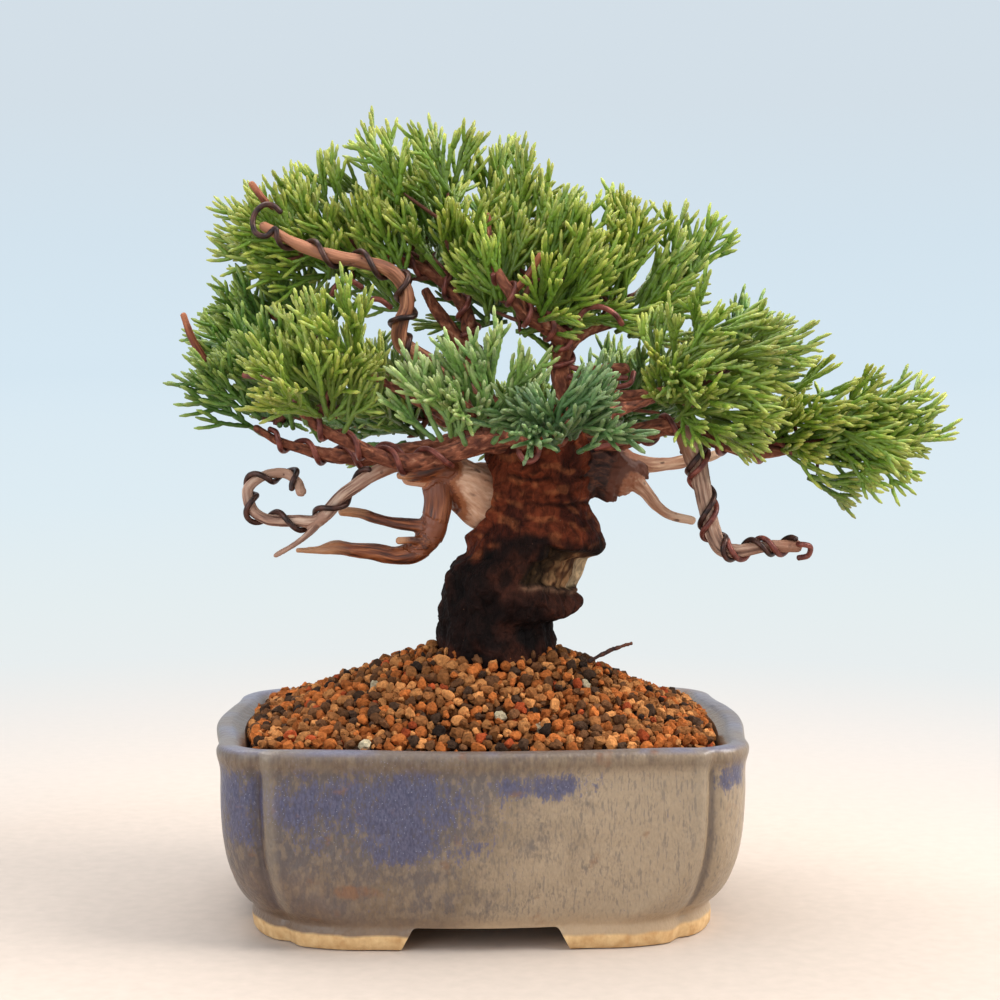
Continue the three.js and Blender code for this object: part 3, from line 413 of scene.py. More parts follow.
def glaze_finish():
    """Blotches of khaki over mauve grey, lavender where the glaze is thick, and a bare clay foot."""
    f = Finish("glaze", coat_weight=0.15, coat_roughness=0.3)
    x, y, z = f.axes(f.place())
    level = z / POT_HEIGHT
    blotches = f.noise(f.place((0.17, 0.17, 0.15)), detail=10.0, distortion=0.3)
    runs = f.noise(f.place((1.0, 1.0, 0.24)), detail=5.0)
    streaks = f.noise(f.place((2.0, 2.0, 0.4)), detail=4.0)
    mottle = f.noise(f.place((0.75, 0.75, 0.4)), detail=8.0)
    cloud = f.noise(f.place((0.05, 0.05, 0.075)), detail=5.0, distortion=0.8)
    fine = f.noise(f.place((2.4, 2.4, 1.2)))
    grit = fine - 0.5
    # Mauve grey shows more to the left, and khaki more to the right.
    side = x / 60.0 + cloud * 1.2 + (0.6 - level) * 0.45
    mauve = f.ramp(side, (0.1, (84, 73, 70)), (0.5, (96, 84, 78)), (1.0, (122, 106, 90)))
    khaki = f.ramp(side, (0.1, (98, 80, 62)), (0.5, (116, 97, 76)), (1.0, (154, 133, 108)))
    share = blotches + (side - 0.52) * 0.36 + (runs + (grit - 0.5)) * 0.55
    shade = f.mix(f.ramp(share, (0.4, 0.0), (0.6, 1.0)), mauve, khaki)
    shade = f.mix(f.ramp(streaks, (0.38, 0.5), (0.46, 0.0)), shade, (98, 88, 82))
    # Khaki specks that ran down over the mauve.
    shade = f.mix(f.ramp(mottle, (0.5, 0.0), (0.6, 0.6)), shade,
                  f.ramp(side, (0.1, (122, 102, 82)), (1.0, (158, 136, 110))))
    # Brown low down and to the left.
    brown = f.ramp(level, (0.2, 0.9), (0.5, 0.0)) * f.ramp(cloud, (0.4, 0.3), (0.6, 1.0))
    brown = brown * f.ramp(side, (0.3, 0.8), (0.9, 0.0))
    shade = f.mix(brown, shade, f.ramp(runs, (0.4, (98, 76, 62)), (0.6, (118, 92, 72))))

    def patch(centre_x, centre_z, across, down):
        """1 in the middle of a patch of the front, and less away from it."""
        aside = (x - centre_x) / across
        below = (z - centre_z) / down
        away = f.maths("SQRT", aside * aside + below * below)
        return f.maths("SUBTRACT", 1.4, away, clamp=True)

    # Lavender where the glaze is thick, with pale crystals in it.
    thick = patch(-16, 29.5, 17, 9)
    for spot in ((-32, 29, 13, 8), (-47, 29, 8, 9), (12, 33.5, 14, 3), (50, 34, 4, 4), (-14, 22, 15, 5)):
        thick = f.maths("MAXIMUM", thick, patch(*spot) * 0.8)
    gather = thick * 0.44 + (blotches * 0.6 + runs * 0.5 + grit * 0.6) - 0.3
    shade = f.mix(f.ramp(gather, (0.44, 0.0), (0.52, 0.6), (0.62, 0.95)), shade,
                  f.ramp(fine, (0.35, (54, 55, 84)), (0.62, (78, 76, 100))))
    # The brown band under the lip, and the lip itself.
    shade = f.mix(f.ramp(level, (0.885, 0.0), (0.93, 0.75), (0.97, 0.55)), shade,
                  f.ramp(runs, (0.4, (98, 76, 58)), (0.62, (120, 100, 78))))
    shade = f.mix(f.ramp(level, (0.975, 0.0), (0.995, 0.85)), shade,
                  f.ramp(cloud, (0.42, (112, 98, 90)), (0.6, (108, 106, 124))))
    # Dark in the grooves, partly pooled glaze and partly painted shade; pale on the ridges, partly thin glaze
    # and partly a painted highlight.
    pooling_and_painted_light = f.mesh("pooling_and_painted_light")
    shade = f.mix(f.ramp(pooling_and_painted_light, (0.6, 0.0), (0.85, 0.6)), shade, (66, 54, 54))
    shade = f.mix(f.ramp(pooling_and_painted_light, (0.15, 0.4), (0.45, 0.0)), shade, (140, 124, 104))
    # Rust in spots all round, and in one smear low on the front.
    spots = f.ramp(f.noise(f.place((0.14, 0.14, 0.2)), detail=7.0), (0.63, 0.0), (0.72, 0.7))
    smear = patch(-24, 12.3, 6, 2) * 0.45 + (blotches * 0.5 + mottle * 0.5)
    rust = f.maths("MAXIMUM", spots, f.ramp(smear, (0.8, 0.0), (0.95, 0.7)))
    shade = f.mix(rust, shade, (120, 78, 50))
    crystals = f.ramp(f.cells(f.place(), 1.3), (0.07, 0.7), (0.16, 0.0))
    shade = f.mix(crystals * f.ramp(thick, (0.1, 0.15), (0.7, 1.0)), shade, (150, 150, 166))
    shade = f.tone(shade, fine, (0.3, 0.86), (0.7, 1.06))
    shade = f.mix(f.ramp(z / 10.0, (0.5, 0.8), (0.8, 0.0)), shade,
                  f.ramp(side, (0.3, (106, 84, 66)), (0.7, (132, 107, 83)), (1.0, (170, 143, 112))))
    # The bare clay: the bottom of the foot, its inside and the underside of the floor.
    edge = z - f.noise(f.place((0.12, 0.12, 0.05))) * 1.8
    cubes = [f.maths("POWER", f.maths("ABSOLUTE", along / half), 3.0) for along, half in ((x, 47), (y, 40))]
    within = f.maths("LESS_THAN", cubes[0] + cubes[1], 1.0) * f.maths("LESS_THAN", z, 6.7)
    bare = f.maths("MAXIMUM", f.ramp(edge / 10.0, (0.2, 1.0), (0.26, 0.0)), within)
    clay = f.ramp(f.noise(f.place((0.5, 0.5, 0.5)), detail=6.0), (0.3, (186, 142, 90)),
                  (0.7, (220, 184, 132)))
    f.set(base_color=f.mix(bare, shade, clay), roughness=f.ramp(bare, (0.0, 0.38), (1.0, 0.85)))
    f.bump(f.noise(f.place((0.5, 0.5, 0.35)), detail=2.0) + fine * 0.3, 0.35)
    return f.material


def tinted_finish(name, roughness, depth, **constants):
    """A finish whose colour is on the mesh, broken up by fine flecks."""
    f = Finish(name, roughness, **constants)
    flecks = f.noise(f.place(), scale=1.5, detail=4.0)
    f.set(base_color=f.tone(f.mesh("tint", "Color"), flecks, (0.3, 0.5), (0.7, 1.0)))
    f.bump(flecks, depth)
    return f.material


def bark_finish():
    """Flaking red-brown bark with dark furrows along the branch."""
    f = Finish("bark", 0.8, specular_ior_level=0.3)
    fibres = f.noise(f.grain((1.2, 1.2, 0.5)), detail=8.0, distortion=0.5)
    patches = f.noise(f.grain((0.35, 0.35, 0.2)))
    shade = f.ramp(fibres, (0.3, (48, 24, 16)), (0.45, (106, 58, 40)), (0.6, (150, 88, 62)),
                   (0.75, (190, 138, 108)))
    f.set(base_color=f.mix(f.ramp(patches, (0.45, 0.0), (0.65, 0.6)), shade, (86, 40, 28)))
    f.bump(fibres, 0.5)
    return f.material


def trunk_finish():
    """Bark whose colours are on the mesh, broken up by fibres and flakes."""
    f = Finish("trunk_bark", 0.8, specular_ior_level=0.12)
    fibres = f.noise(f.grain((0.8, 0.8, 0.5)), detail=8.0, distortion=0.6)
    flakes = f.noise(f.grain((0.3, 0.3, 0.35)), detail=6.0, distortion=0.8)
    shade = f.tone(f.mesh("tint", "Color"), fibres, (0.32, 0.45), (0.5, 1.0), (0.68, 1.5))
    shade = f.tone(shade, flakes, (0.35, 0.62), (0.6, 1.1))
    # Painted glints: sparse pale specks stand in for small glints of light on the bark.
    painted_glints = f.ramp(f.cells(f.place(), 0.5), (0.03, 0.5), (0.06, 0.0))
    f.set(base_color=f.mix(painted_glints, shade, (140, 104, 84)))
    f.bump(fibres + flakes * 0.8, 1.3)
    return f.material


# Bare woods: the dark, middle and light shades of the grain, the shades of the root, of the tip and of where
# two routes join, and what sets the wood apart in wood_finish().
WOODS = {
    "bone": ([(134, 86, 60), (184, 134, 104), (218, 180, 150),
              (140, 78, 46), (206, 170, 142), (92, 48, 30)], {}),
    "coil": ([(84, 52, 42), (160, 120, 100), (208, 176, 154),
              (150, 100, 74), (168, 128, 106), (160, 120, 100)], {"roughness": 0.7}),
    "tawny": ([(76, 38, 24), (140, 82, 52), (190, 130, 94),
               (108, 58, 38), (170, 110, 78), (140, 82, 52)], {}),
    "grey": ([(78, 52, 42), (146, 110, 90), (200, 168, 146),
              (136, 88, 62), (142, 92, 68), (146, 110, 90)], {"roughness": 0.75}),
    "pale": ([(178, 124, 92), (208, 160, 128), (228, 190, 162),
              (160, 102, 68), (196, 142, 110), (160, 98, 62)],
             {"roughness": 0.6, "pit_size": 1.3, "streaks": 0.6}),
    "amber": ([(54, 22, 10), (112, 54, 26), (160, 94, 54),
               (120, 64, 38), (194, 140, 100), (122, 64, 36)],
              {"roughness": 0.42, "pit_scale": 0.4, "pit_size": 1.2, "streaks": 1.2, "tip_from": 0.72}),
    "twigbark": ([(86, 34, 20), (136, 66, 38), (178, 108, 66),
                  (120, 60, 36), (160, 92, 58), (136, 66, 38)], {"roughness": 0.65}),
    "char": ([(30, 14, 10), (62, 32, 22), (110, 64, 42),
              (46, 24, 16), (104, 56, 34), (92, 48, 30)],
             {"roughness": 0.8, "streaks": 0.9, "length": 1.4, "tip_from": 0.62}),
}


def wood_finish(name, shades, roughness=0.64, pit_scale=0.55, pit_size=1.0, streaks=1.0, length=7.0,
                tip_from=0.68):
    """Bare wood with grain along it, dark pits, and shades of its own at the root and the tip."""
    dark, middle, light, root, tip, joint = shades
    f = Finish(name, roughness)
    fibres = f.noise(f.grain((1.6, 1.6, 1 / length)), detail=6.0, distortion=0.2)
    stains = f.noise(f.grain((0.4, 0.4, 0.12)))
    shade = f.ramp(fibres, (0.5 - 0.18 / streaks, dark), (0.48, middle), (0.5 + 0.18 / streaks, light))
    shade = f.mix(f.ramp(stains, (0.52, 0.0), (0.66, 0.55)), shade, dark)
    fade = f.mesh("fade") + (stains - 0.5) * 0.4
    shade = f.mix(f.ramp(fade, (0.03, 0.85), (0.2, 0.0)), shade, root)
    shade = f.mix(f.ramp(fade, (tip_from, 0.0), (tip_from + 0.2, 0.8)), shade, tip)
    shaken = f.noise(f.grain((0.9, 0.9, 0.5)))
    warped = f.add("VectorMath", {0: f.grain((1, 1, 0.6)), 1: shaken}, operation="ADD")
    pitted = f.ramp(f.noise(f.grain((0.22, 0.22, 0.16))), (0.44, 0.0), (0.58, 1.0))
    pit = f.ramp(f.cells(warped, pit_scale), (0.1 * pit_size, 0.8), (0.2 * pit_size, 0.0)) * pitted
    shade = f.mix(pit, shade, (78, 44, 30))
    # Where two routes grow together their grain and shades would meet at an edge, so a plain shade covers it.
    seam = f.ramp(f.mesh("joint") + (f.noise(f.place()) - 0.5) * 0.9, (0.3, 0.0), (0.7, 1.0))
    f.set(base_color=f.mix(seam, shade, joint))
    f.bump((fibres * streaks - pit * 0.6) * (1.0 - seam), 0.35)
    return f.material


def metal_finish(name, worn, fresh, roughness, metallic):
    """Wire with a dull skin that is rubbed brighter in places."""
    f = Finish(name, roughness, metallic=metallic)
    rubbed = f.noise(f.place((0.5, 0.5, 0.5)), detail=5.0)
    f.set(base_color=f.ramp(rubbed, (0.38, worn), (0.66, fresh)))
    f.bump(f.noise(f.place((3, 3, 3))), 0.06)
    return f.material


def shoot_finish():
    """Scale leaves: green by age, a little waxy, with light coming through the young tips."""
    f = Finish("foliage", 0.42, subsurface_weight=0.12, subsurface_scale=0.8 * MM,
               subsurface_radius=(0.5, 1.0, 0.2))
    f.set(base_color=f.tone(f.mesh("tint", "Color"), f.noise(f.place(), scale=0.9), (0.3, 0.78), (0.7, 1.0)))
    f.bump(f.noise(f.place(), scale=2.2, detail=1.0), 0.15)
    return f.material


FINISHES = {name: wood_finish(name + "_wood", shades, **apart) for name, (shades, apart) in WOODS.items()}
FINISHES |= {
    "glaze": glaze_finish(),
    "bark": bark_finish(),
    "trunk": trunk_finish(),
    "copper": metal_finish("copper_wire", (84, 38, 32), (142, 76, 62), 0.42, 0.35),
    "dark": metal_finish("dark_wire", (34, 20, 18), (88, 54, 44), 0.38, 0.45),
    "soft": metal_finish("soft_wire", (120, 122, 124), (190, 190, 188), 0.35, 0.9),
    "plastic": metal_finish("mesh_plastic", (22, 26, 22), (38, 42, 36), 0.55, 0.0),
    "grain": tinted_finish("soil_grain", 0.95, 0.5, specular_ior_level=0.15),
    "twig": tinted_finish("twig", 0.75, 0.15),
    "shoot": shoot_finish(),
}


# ---------------------------------------------------------------- modelling tools

def numbers(collection, name, width, kind=np.float32):
    values = np.empty(len(collection) * width, kind)
    collection.foreach_get(name, values)
    return values.reshape(-1, width) if width > 1 else values


def points_of(piece):
    return numbers(piece.data.vertices, "co", 3).astype(float)


def move_points(piece, points):
    piece.data.vertices.foreach_set("co", np.asarray(points, np.float32).ravel())
    piece.data.update()


def mark(piece, name, values, kind):
    """Stores values on the vertices, for the finish to read."""
    field = {"FLOAT": "value", "FLOAT_VECTOR": "vector", "FLOAT_COLOR": "color"}[kind]
    layer = piece.data.attributes.new(name, kind, "POINT")
    layer.data.foreach_set(field, np.asarray(values, np.float32).ravel())


def new_piece(primitive, **settings):
    """A new piece, from one of the mesh primitives."""
    bpy.ops.object.select_all(action="DESELECT")
    primitive(**settings)
    return bpy.context.active_object


def new_object(name, data):
    """A new object of given data: a mesh, a light or a camera."""
    made = bpy.data.objects.new(name, data)
    bpy.context.scene.collection.objects.link(made)
    return made


def select(pieces):
    """Selects only some pieces, with the first of them active."""
    bpy.ops.object.select_all(action="DESELECT")
    for piece in pieces:
        piece.select_set(True)
    bpy.context.view_layer.objects.active = pieces[0]


def edit(piece, *steps):
    """Runs edit-mode steps on the whole of one piece."""
    select([piece])
    bpy.ops.object.mode_set(mode="EDIT")
    bpy.ops.mesh.select_all(action="SELECT")
    for step in steps:
        step()
    bpy.ops.object.mode_set(mode="OBJECT")


def face_outwards():
    bpy.ops.mesh.normals_make_consistent(inside=False)


def apply(piece, kind, **settings):
    """Adds a modifier to a piece and applies it."""
    bpy.context.view_layer.objects.active = piece
    modifier = piece.modifiers.new(kind.lower(), kind)
    for name, value in settings.items():
        setattr(modifier, name, value)
    bpy.ops.object.modifier_apply(modifier=modifier.name)


def settle(piece, name, finishes, nodes=(), smooth_angle=None):
    """Names a finished piece, brings it to the row frame, and gives it its finish, body and nodes."""
    piece.name = piece.data.name = name
    piece.data.transform(TO_ROW)
    piece.data.materials.clear()
    for finish in finishes:
        piece.data.materials.append(FINISHES[finish])
    select([piece])
    if smooth_angle is None:
        bpy.ops.object.shade_smooth()
    else:
        bpy.ops.object.shade_smooth_by_angle(angle=math.radians(smooth_angle))
    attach(piece, "root")
    if nodes:
        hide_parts(*nodes)


def loft(rings):
    """A closed skin over rings that have as many points each. A ring of one repeated point closes an end."""
    rings = np.asarray(rings, float)
    rows, columns = rings.shape[:2]
    piece = new_piece(bpy.ops.mesh.primitive_grid_add, x_subdivisions=columns,
                      y_subdivisions=rows - 1, size=1)
    move_points(piece, np.concatenate([rings, rings[:, :1]], axis=1).reshape(-1, 3))
    edit(piece, lambda: bpy.ops.mesh.remove_doubles(threshold=0.001), face_outwards)
    return piece


def join(pieces):
    select(pieces)
    bpy.ops.object.join()
    return pieces[0]


def smooth(route, steps):
    """Samples of a smooth curve through a route's points, so many for each stretch, with all their values."""
    points = np.asarray(route, float)
    ends = [2 * points[0] - points[1], *points, 2 * points[-1] - points[-2]]
    samples = []
    for p0, p1, p2, p3 in zip(ends, ends[1:], ends[2:], ends[3:]):
        d0, d1, d2 = (math.sqrt(np.linalg.norm((b - a)[:3]) + 1e-9)
                      for a, b in ((p0, p1), (p1, p2), (p2, p3)))
        leave = d1 * ((p1 - p0) / d0 - (p2 - p0) / (d0 + d1) + (p2 - p1) / d1)
        arrive = d1 * ((p2 - p1) / d1 - (p3 - p1) / (d1 + d2) + (p3 - p2) / d2)
        for s in np.arange(steps) / steps:
            samples.append(p1 + s * leave + s**2 * (3 * (p2 - p1) - 2 * leave - arrive)
                           + s**3 * (2 * (p1 - p2) + leave + arrive))
    return np.array([*samples, points[-1]])


def unit(vectors):
    return vectors / np.linalg.norm(vectors, axis=-1, keepdims=True)


def directions(samples):
    """Unit directions along a sampled route, and two across it that don't twist."""
    along = unit(np.gradient(samples[:, :3], axis=0))
    side = np.array([0.31, 0.9, 0.29])
    sides = []
    for direction in along:
        side = unit(side - direction * side.dot(direction))
        sides.append(side)
    across = np.array(sides)
    return along, across, np.cross(along, across)


def lengths(samples):
    """Length of a sampled route from its start to each sample."""
    return np.cumsum(np.r_[0, np.linalg.norm(np.diff(samples[:, :3], axis=0), axis=1)])


def rings_along(samples, radii, sides):
    """Rings round a sampled route, with rounded ends."""
    along, u, v = directions(samples)
    angles = np.linspace(0, 2 * np.pi, sides, endpoint=False)
    circle = np.cos(angles)[None, :, None] * u[:, None] + np.sin(angles)[None, :, None] * v[:, None]
    rings = samples[:, None, :3] + radii[:, None, None] * circle
    first, last = [], []
    for share, reach in ((0.0, 0.6), (0.55, 0.45), (0.85, 0.2)):
        first.append(samples[0, :3] - reach * radii[0] * along[0] + share * radii[0] * circle[0])
        last.insert(0, samples[-1, :3] + reach * radii[-1] * along[-1] + share * radii[-1] * circle[-1])
    return np.array([*first, *rings, *last])


def field(points, scale, seed=0.0):
    """Smooth noise from -1 to 1 at each point, with a scale for each axis."""
    spots = np.asarray(points) * np.asarray(scale) + seed
    return np.array([noise.noise(Vector(spot)) for spot in spots])


def ridges(points, scale, seed=0.0):
    """Noise from 0 to 1 with sharp crests."""
    return 1 - 2 * np.abs(field(points, scale, seed))


# ---------------------------------------------------------------- pot

ARC_STEPS, GROOVE_STEP, SIDE_STEPS = 40, 30, 14
ROWS_BELOW_WALL = 24  # rows of the smoothed body profile below its straight wall


def outline(shape, inset, height, groove_share=1.0):
    """A rectangle with bowed sides and round corners, each with a groove, pushed in by an inset."""
    half_x, half_y, corner, bow = shape["half_x"], shape["half_y"], shape["corner"], shape["bow"]
    shares = np.linspace(0, 0.96, SIDE_STEPS)
    bulge = bow * np.cos(shares * math.pi / 2) ** 2 - inset
    groove_turn = math.radians(shape["groove_turn"])
    turns = np.interp(np.arange(ARC_STEPS + 1), [0, GROOVE_STEP, ARC_STEPS], [0, groove_turn, math.pi / 2])
    beside = corner * (turns - groove_turn) / shape["groove_width"]
    depth = groove_share * shape["groove"] * (np.exp(-beside**2) - 0.3 * np.exp(-(beside - 2) ** 2))
    radius = corner - inset - depth
    end = np.column_stack([half_x + bulge, shares * (half_y - corner)])
    arc = np.column_stack([half_x - corner + radius * np.cos(turns),
                           half_y - corner + radius * np.sin(turns)])
    side = np.column_stack([shares * (half_x - corner), half_y + bulge])[::-1]
    quarter = np.concatenate([end, arc, side])
    half = np.concatenate([quarter, quarter[-2:0:-1] * [-1, 1]])
    ring = np.concatenate([half, [quarter[0] * [-1, 1]], half[:0:-1] * [1, -1]])
    return np.column_stack([ring, np.full(len(ring), height)])


def point_ring(point, like):
    """One point, repeated for each point of another ring."""
    return np.tile(np.asarray(point, float), (len(like), 1))


def cut(piece, cutter):
    """Cuts one closed piece with another, which is used up."""
    apply(piece, "BOOLEAN", object=cutter, operation="DIFFERENCE", solver="EXACT")
    bpy.data.objects.remove(cutter)


def gap_cutter(share, turn):
    """The wedge between two feet, right through under the pot."""
    bottom, top = share * FOOT_GAP_BOTTOM / 2 + 0.5, share * FOOT_GAP_TOP / 2
    cutter = new_piece(bpy.ops.mesh.primitive_cube_add, size=2)
    x, y, z = points_of(cutter).T
    upper = z > 0
    move_points(cutter, np.column_stack([x * np.where(upper, top, bottom), y * 80,
                                         np.where(upper, FOOT_GAP_HEIGHT, -1)]))
    cutter.data.transform(Matrix.Rotation(turn, 4, "Z"))
    edit(cutter, lambda: bpy.ops.mesh.bevel(offset=0.8, segments=3, affect="EDGES"))
    return cutter


def body_ring(height, share, overhang, groove_share):
    """A ring of the body, which blends into the foot's outline as it goes down."""
    body = outline(BODY_OUTLINE, -overhang, height, groove_share)
    foot = outline(FOOT_OUTLINE, -overhang, height, groove_share)
    return body + share * (foot - body)


def model_pot():
    foot_inside = {**FOOT_OUTLINE, "groove": 0}
    foot = outline(FOOT_OUTLINE, 0, 0)
    skin = [point_ring((0, 0, POT_FLOOR_UNDERSIDE), foot)]
    skin += [outline(foot_inside, inset, POT_FLOOR_UNDERSIDE) for inset in (22, 15, FOOT_RING_WIDTH + 0.6)]
    skin += [outline(foot_inside, FOOT_RING_WIDTH, height) for height in (5.9, 0.5)]
    skin += [outline(FOOT_OUTLINE, inset, height) for inset, height in
             ((5.4, 0), (1.2, 0), (0.4, 0.25), (0, 0.9), (-0.2, 2.4), (-0.2, 3.8), (0.1, 4.6))]
    skin += [body_ring(*row) for row in smooth(BODY_PROFILE, 3)]
    skin += [outline(INNER_OUTLINE, inset, height) for inset, height in
             ((-0.4, 38.6), (0, 37.6), (0.4, 32), (1.2, 22), (2, 14), (3, 11.6), (5, POT_FLOOR_TOP),
              (18, POT_FLOOR_TOP))]
    skin.append(point_ring((0, 0, POT_FLOOR_TOP), foot))
    pot = loft(skin)
    # A hand-made unevenness, that fades out towards the ground.
    points = points_of(pot)
    wobble = 0.4 * field(points, (0.035, 0.035, 0.05)) + 0.12 * field(points, (0.12, 0.12, 0.12))
    wobble *= np.clip(points[:, 2] / 4, 0, 1)
    move_points(pot, points + numbers(pot.data.vertices, "normal", 3) * wobble[:, None])
    for x in (-DRAIN_X, DRAIN_X):
        cutter = new_piece(bpy.ops.mesh.primitive_cylinder_add, vertices=48, radius=DRAIN_RADIUS, depth=12,
                           location=(x, 0, 8))
        bpy.ops.object.transform_apply()
        cut(pot, cutter)
    cut(pot, gap_cutter(1, 0))
    cut(pot, gap_cutter(END_GAP_SHARE, math.pi / 2))
    # Where the glaze pools in the grooves (1) and thins on the ridges beside them (0). Elsewhere 0.5.
    points = points_of(pot)
    profile = smooth(BODY_PROFILE, 3)[:ROWS_BELOW_WALL]
    grooves = np.array([body_ring(*row)[SIDE_STEPS + GROOVE_STEP, :2] for row in profile])
    groove_x, groove_y = (np.interp(points[:, 2], profile[:, 0], grooves[:, k]) for k in range(2))
    beside = np.hypot(np.abs(points[:, 0]) - groove_x, np.abs(points[:, 1]) - groove_y)
    front = np.abs(points[:, 0]) < groove_x
    # The finish paints the grooves darker and the ridges paler: partly the glaze, partly painted shade and a
    # painted highlight.
    pooling_and_painted_light = 0.5 + 0.5 * np.exp(-(beside / 1.1) ** 2) - 0.5 * front * np.exp(-((beside - 3) / 1.3) ** 2)
    mark(pot, "pooling_and_painted_light", np.where(points[:, 2] > 7, pooling_and_painted_light, 0.5), "FLOAT")
    pot.data.transform(Matrix.Rotation(POT_TURN, 4, "Z"))
    settle(pot, "glazed_pot", ["glaze"], ["pot"], smooth_angle=38)


# ---------------------------------------------------------------- soil

def mound_share(x, y):
    """0 at the top of the mound and 1 at its edge: round at the top, with the pot's outline at the edge."""
    edge = outline(INNER_OUTLINE, SOIL_CLEARANCE, 0)
    turn = np.arctan2(edge[:, 1], edge[:, 0])
    order = np.argsort(turn)
    reach = np.hypot(edge[:, 0], edge[:, 1])[order]
    reach = np.interp(np.arctan2(y, x), turn[order], reach, period=2 * math.pi)
    square_share = np.hypot(x, y) / reach
    round_share = np.hypot(x / 47, y / 37)
    mix = np.clip(square_share, 0, 1) ** 2
    return np.clip(round_share * (1 - mix) + square_share * mix, 0, 1)


def mound_height(x, y):
    """Height of the soil's surface, with a little more of it piled up to the right of the trunk."""
    lean = 1.6 * np.exp(-((x - 18) ** 2 + (y + 4) ** 2) / 130)
    return SOIL_EDGE_HEIGHT + SOIL_RISE * (1 - mound_share(x, y) ** 1.38) + lean


def model_soil_bed():
    """The mass of the soil under its loose top grains."""
    edge = outline(INNER_OUTLINE, 0.6, 0)
    skin = [point_ring((0, 0, POT_FLOOR_TOP + 0.4), edge)]
    skin += [outline(INNER_OUTLINE, inset, height) for inset, height in
             ((5.5, 10.9), (2.5, 14.6), (1, 30), (0.6, 36.6))]
    for share in (0.97, 0.9, 0.8, 0.68, 0.55, 0.42, 0.3, 0.18, 0.08):
        ring = edge * [share, share, 1]
        ring[:, 2] = mound_height(ring[:, 0], ring[:, 1]) - BED_DROP
        skin.append(ring)
    skin.append(point_ring((0, 0, SOIL_EDGE_HEIGHT + SOIL_RISE - BED_DROP), edge))
    bed = loft(skin)
    # Painted shade: the bed is painted near black-brown, for the shade in the gaps between the grains above
    # it.
    mark(bed, "tint", np.tile(colour(48, 24, 12), (len(bed.data.vertices), 1)), "FLOAT_COLOR")
    bed.data.transform(Matrix.Rotation(POT_TURN, 4, "Z"))
    settle(bed, "soil_bed", ["grain"], ["soil"])


def shape_of(piece):
    """Takes a modelled shape off its object, as arrays ready for copying."""
    shape = {"points": points_of(piece), "corners": numbers(piece.data.loops, "vertex_index", 1, np.int32),
             "starts": numbers(piece.data.polygons, "loop_start", 1, np.int32)}
    bpy.data.objects.remove(piece)
    return shape


def copies(parts):
    """One mesh of many copies of shapes. Each part is a shape, its copies' points and their tints."""
    points, corners, starts, tints = [], [], [], []
    vertex, corner = 0, 0
    for shape, places, colours in parts:
        count, size = places.shape[:2]
        ends = np.arange(count)[:, None]
        points.append(places.reshape(-1, 3))
        corners.append((shape["corners"][None] + ends * size + vertex).ravel())
        starts.append((shape["starts"][None] + ends * len(shape["corners"]) + corner).ravel())
        tints.append(np.broadcast_to(colours, (count, size, 4)).reshape(-1, 4))
        vertex += count * size
        corner += count * len(shape["corners"])
    mesh = bpy.data.meshes.new("copies")
    mesh.vertices.add(vertex)
    mesh.loops.add(corner)
    starts = np.concatenate(starts)
    mesh.polygons.add(len(starts))
    mesh.vertices.foreach_set("co", np.concatenate(points).astype(np.float32).ravel())
    mesh.loops.foreach_set("vertex_index", np.concatenate(corners).astype(np.int32))
    mesh.polygons.foreach_set("loop_start", starts.astype(np.int32))
    mesh.update(calc_edges=True)
    piece = new_object("copies", mesh)
    mark(piece, "tint", np.concatenate(tints), "FLOAT_COLOR")
    return piece


def model_grain(seed):
    """A worn, crumbly pebble of about radius 1."""
    grain = new_piece(bpy.ops.mesh.primitive_ico_sphere_add, subdivisions=2, radius=1)
    points = points_of(grain)
    push = 1 + 0.5 * field(points, (0.9, 0.9, 0.9), seed) + 0.4 * field(points, (2.1, 2.1, 2.1), seed)
    squash = chance.uniform(0.68, 1.12, 3)
    move_points(grain, points * push[:, None] * squash)
    return shape_of(grain)


def random_turns(count):
    """Random rotation matrices."""
    q = unit(chance.normal(size=(count, 4)))
    w, x, y, z = q.T
    return np.array([[1 - 2 * (y * y + z * z), 2 * (x * y - z * w), 2 * (x * z + y * w)],
                     [2 * (x * y + z * w), 1 - 2 * (x * x + z * z), 2 * (y * z - x * w)],
                     [2 * (x * z - y * w), 2 * (y * z + x * w), 1 - 2 * (x * x + y * y)]]).transpose(2, 0, 1)


# Shares of the grains, and their colours.
GRAIN_TINTS = [
    (0.3, (206, 116, 56)), (0.2, (222, 148, 86)), (0.03, (196, 88, 46)), (0.2, (170, 108, 60)),
    (0.13, (122, 80, 50)), (0.07, (84, 60, 44)), (0.03, (56, 42, 34)), (0.004, (214, 196, 162)),
]


def scatter_grains(spacing, lift):
    """Places and radii of grains over the mound, none closer than a spacing. Large ones are placed first."""
    least, most = GRAIN_RADIUS
    sizes = least + (most - least) * np.sort(chance.beta(1.5, 2.6, GRAINS_TRIED))[::-1]
    xs, ys = chance.uniform(-49, 49, GRAINS_TRIED), chance.uniform(-39, 39, GRAINS_TRIED)
    shares, heights = mound_share(xs, ys), mound_height(xs, ys)
    root_x, root_half_x, root_half_y = ROOT_PRINT
    taken, found = {}, []
    for x, y, radius, share, height in zip(xs, ys, sizes, shares, heights):
        if share > 0.985 or math.hypot((x - root_x) / root_half_x, y / root_half_y) < 1:
            continue
        cell = (round(x / GRAIN_CELL), round(y / GRAIN_CELL))
        near = [grain for i in (-1, 0, 1) for j in (-1, 0, 1)
                for grain in taken.get((cell[0] + i, cell[1] + j), [])]
        if any(math.hypot(x - gx, y - gy) < spacing * (radius + r) for gx, gy, r in near):
            continue
        taken.setdefault(cell, []).append((x, y, radius))
        found.append((x, y, height + lift - 0.3 * radius, radius))
    return np.array(found)


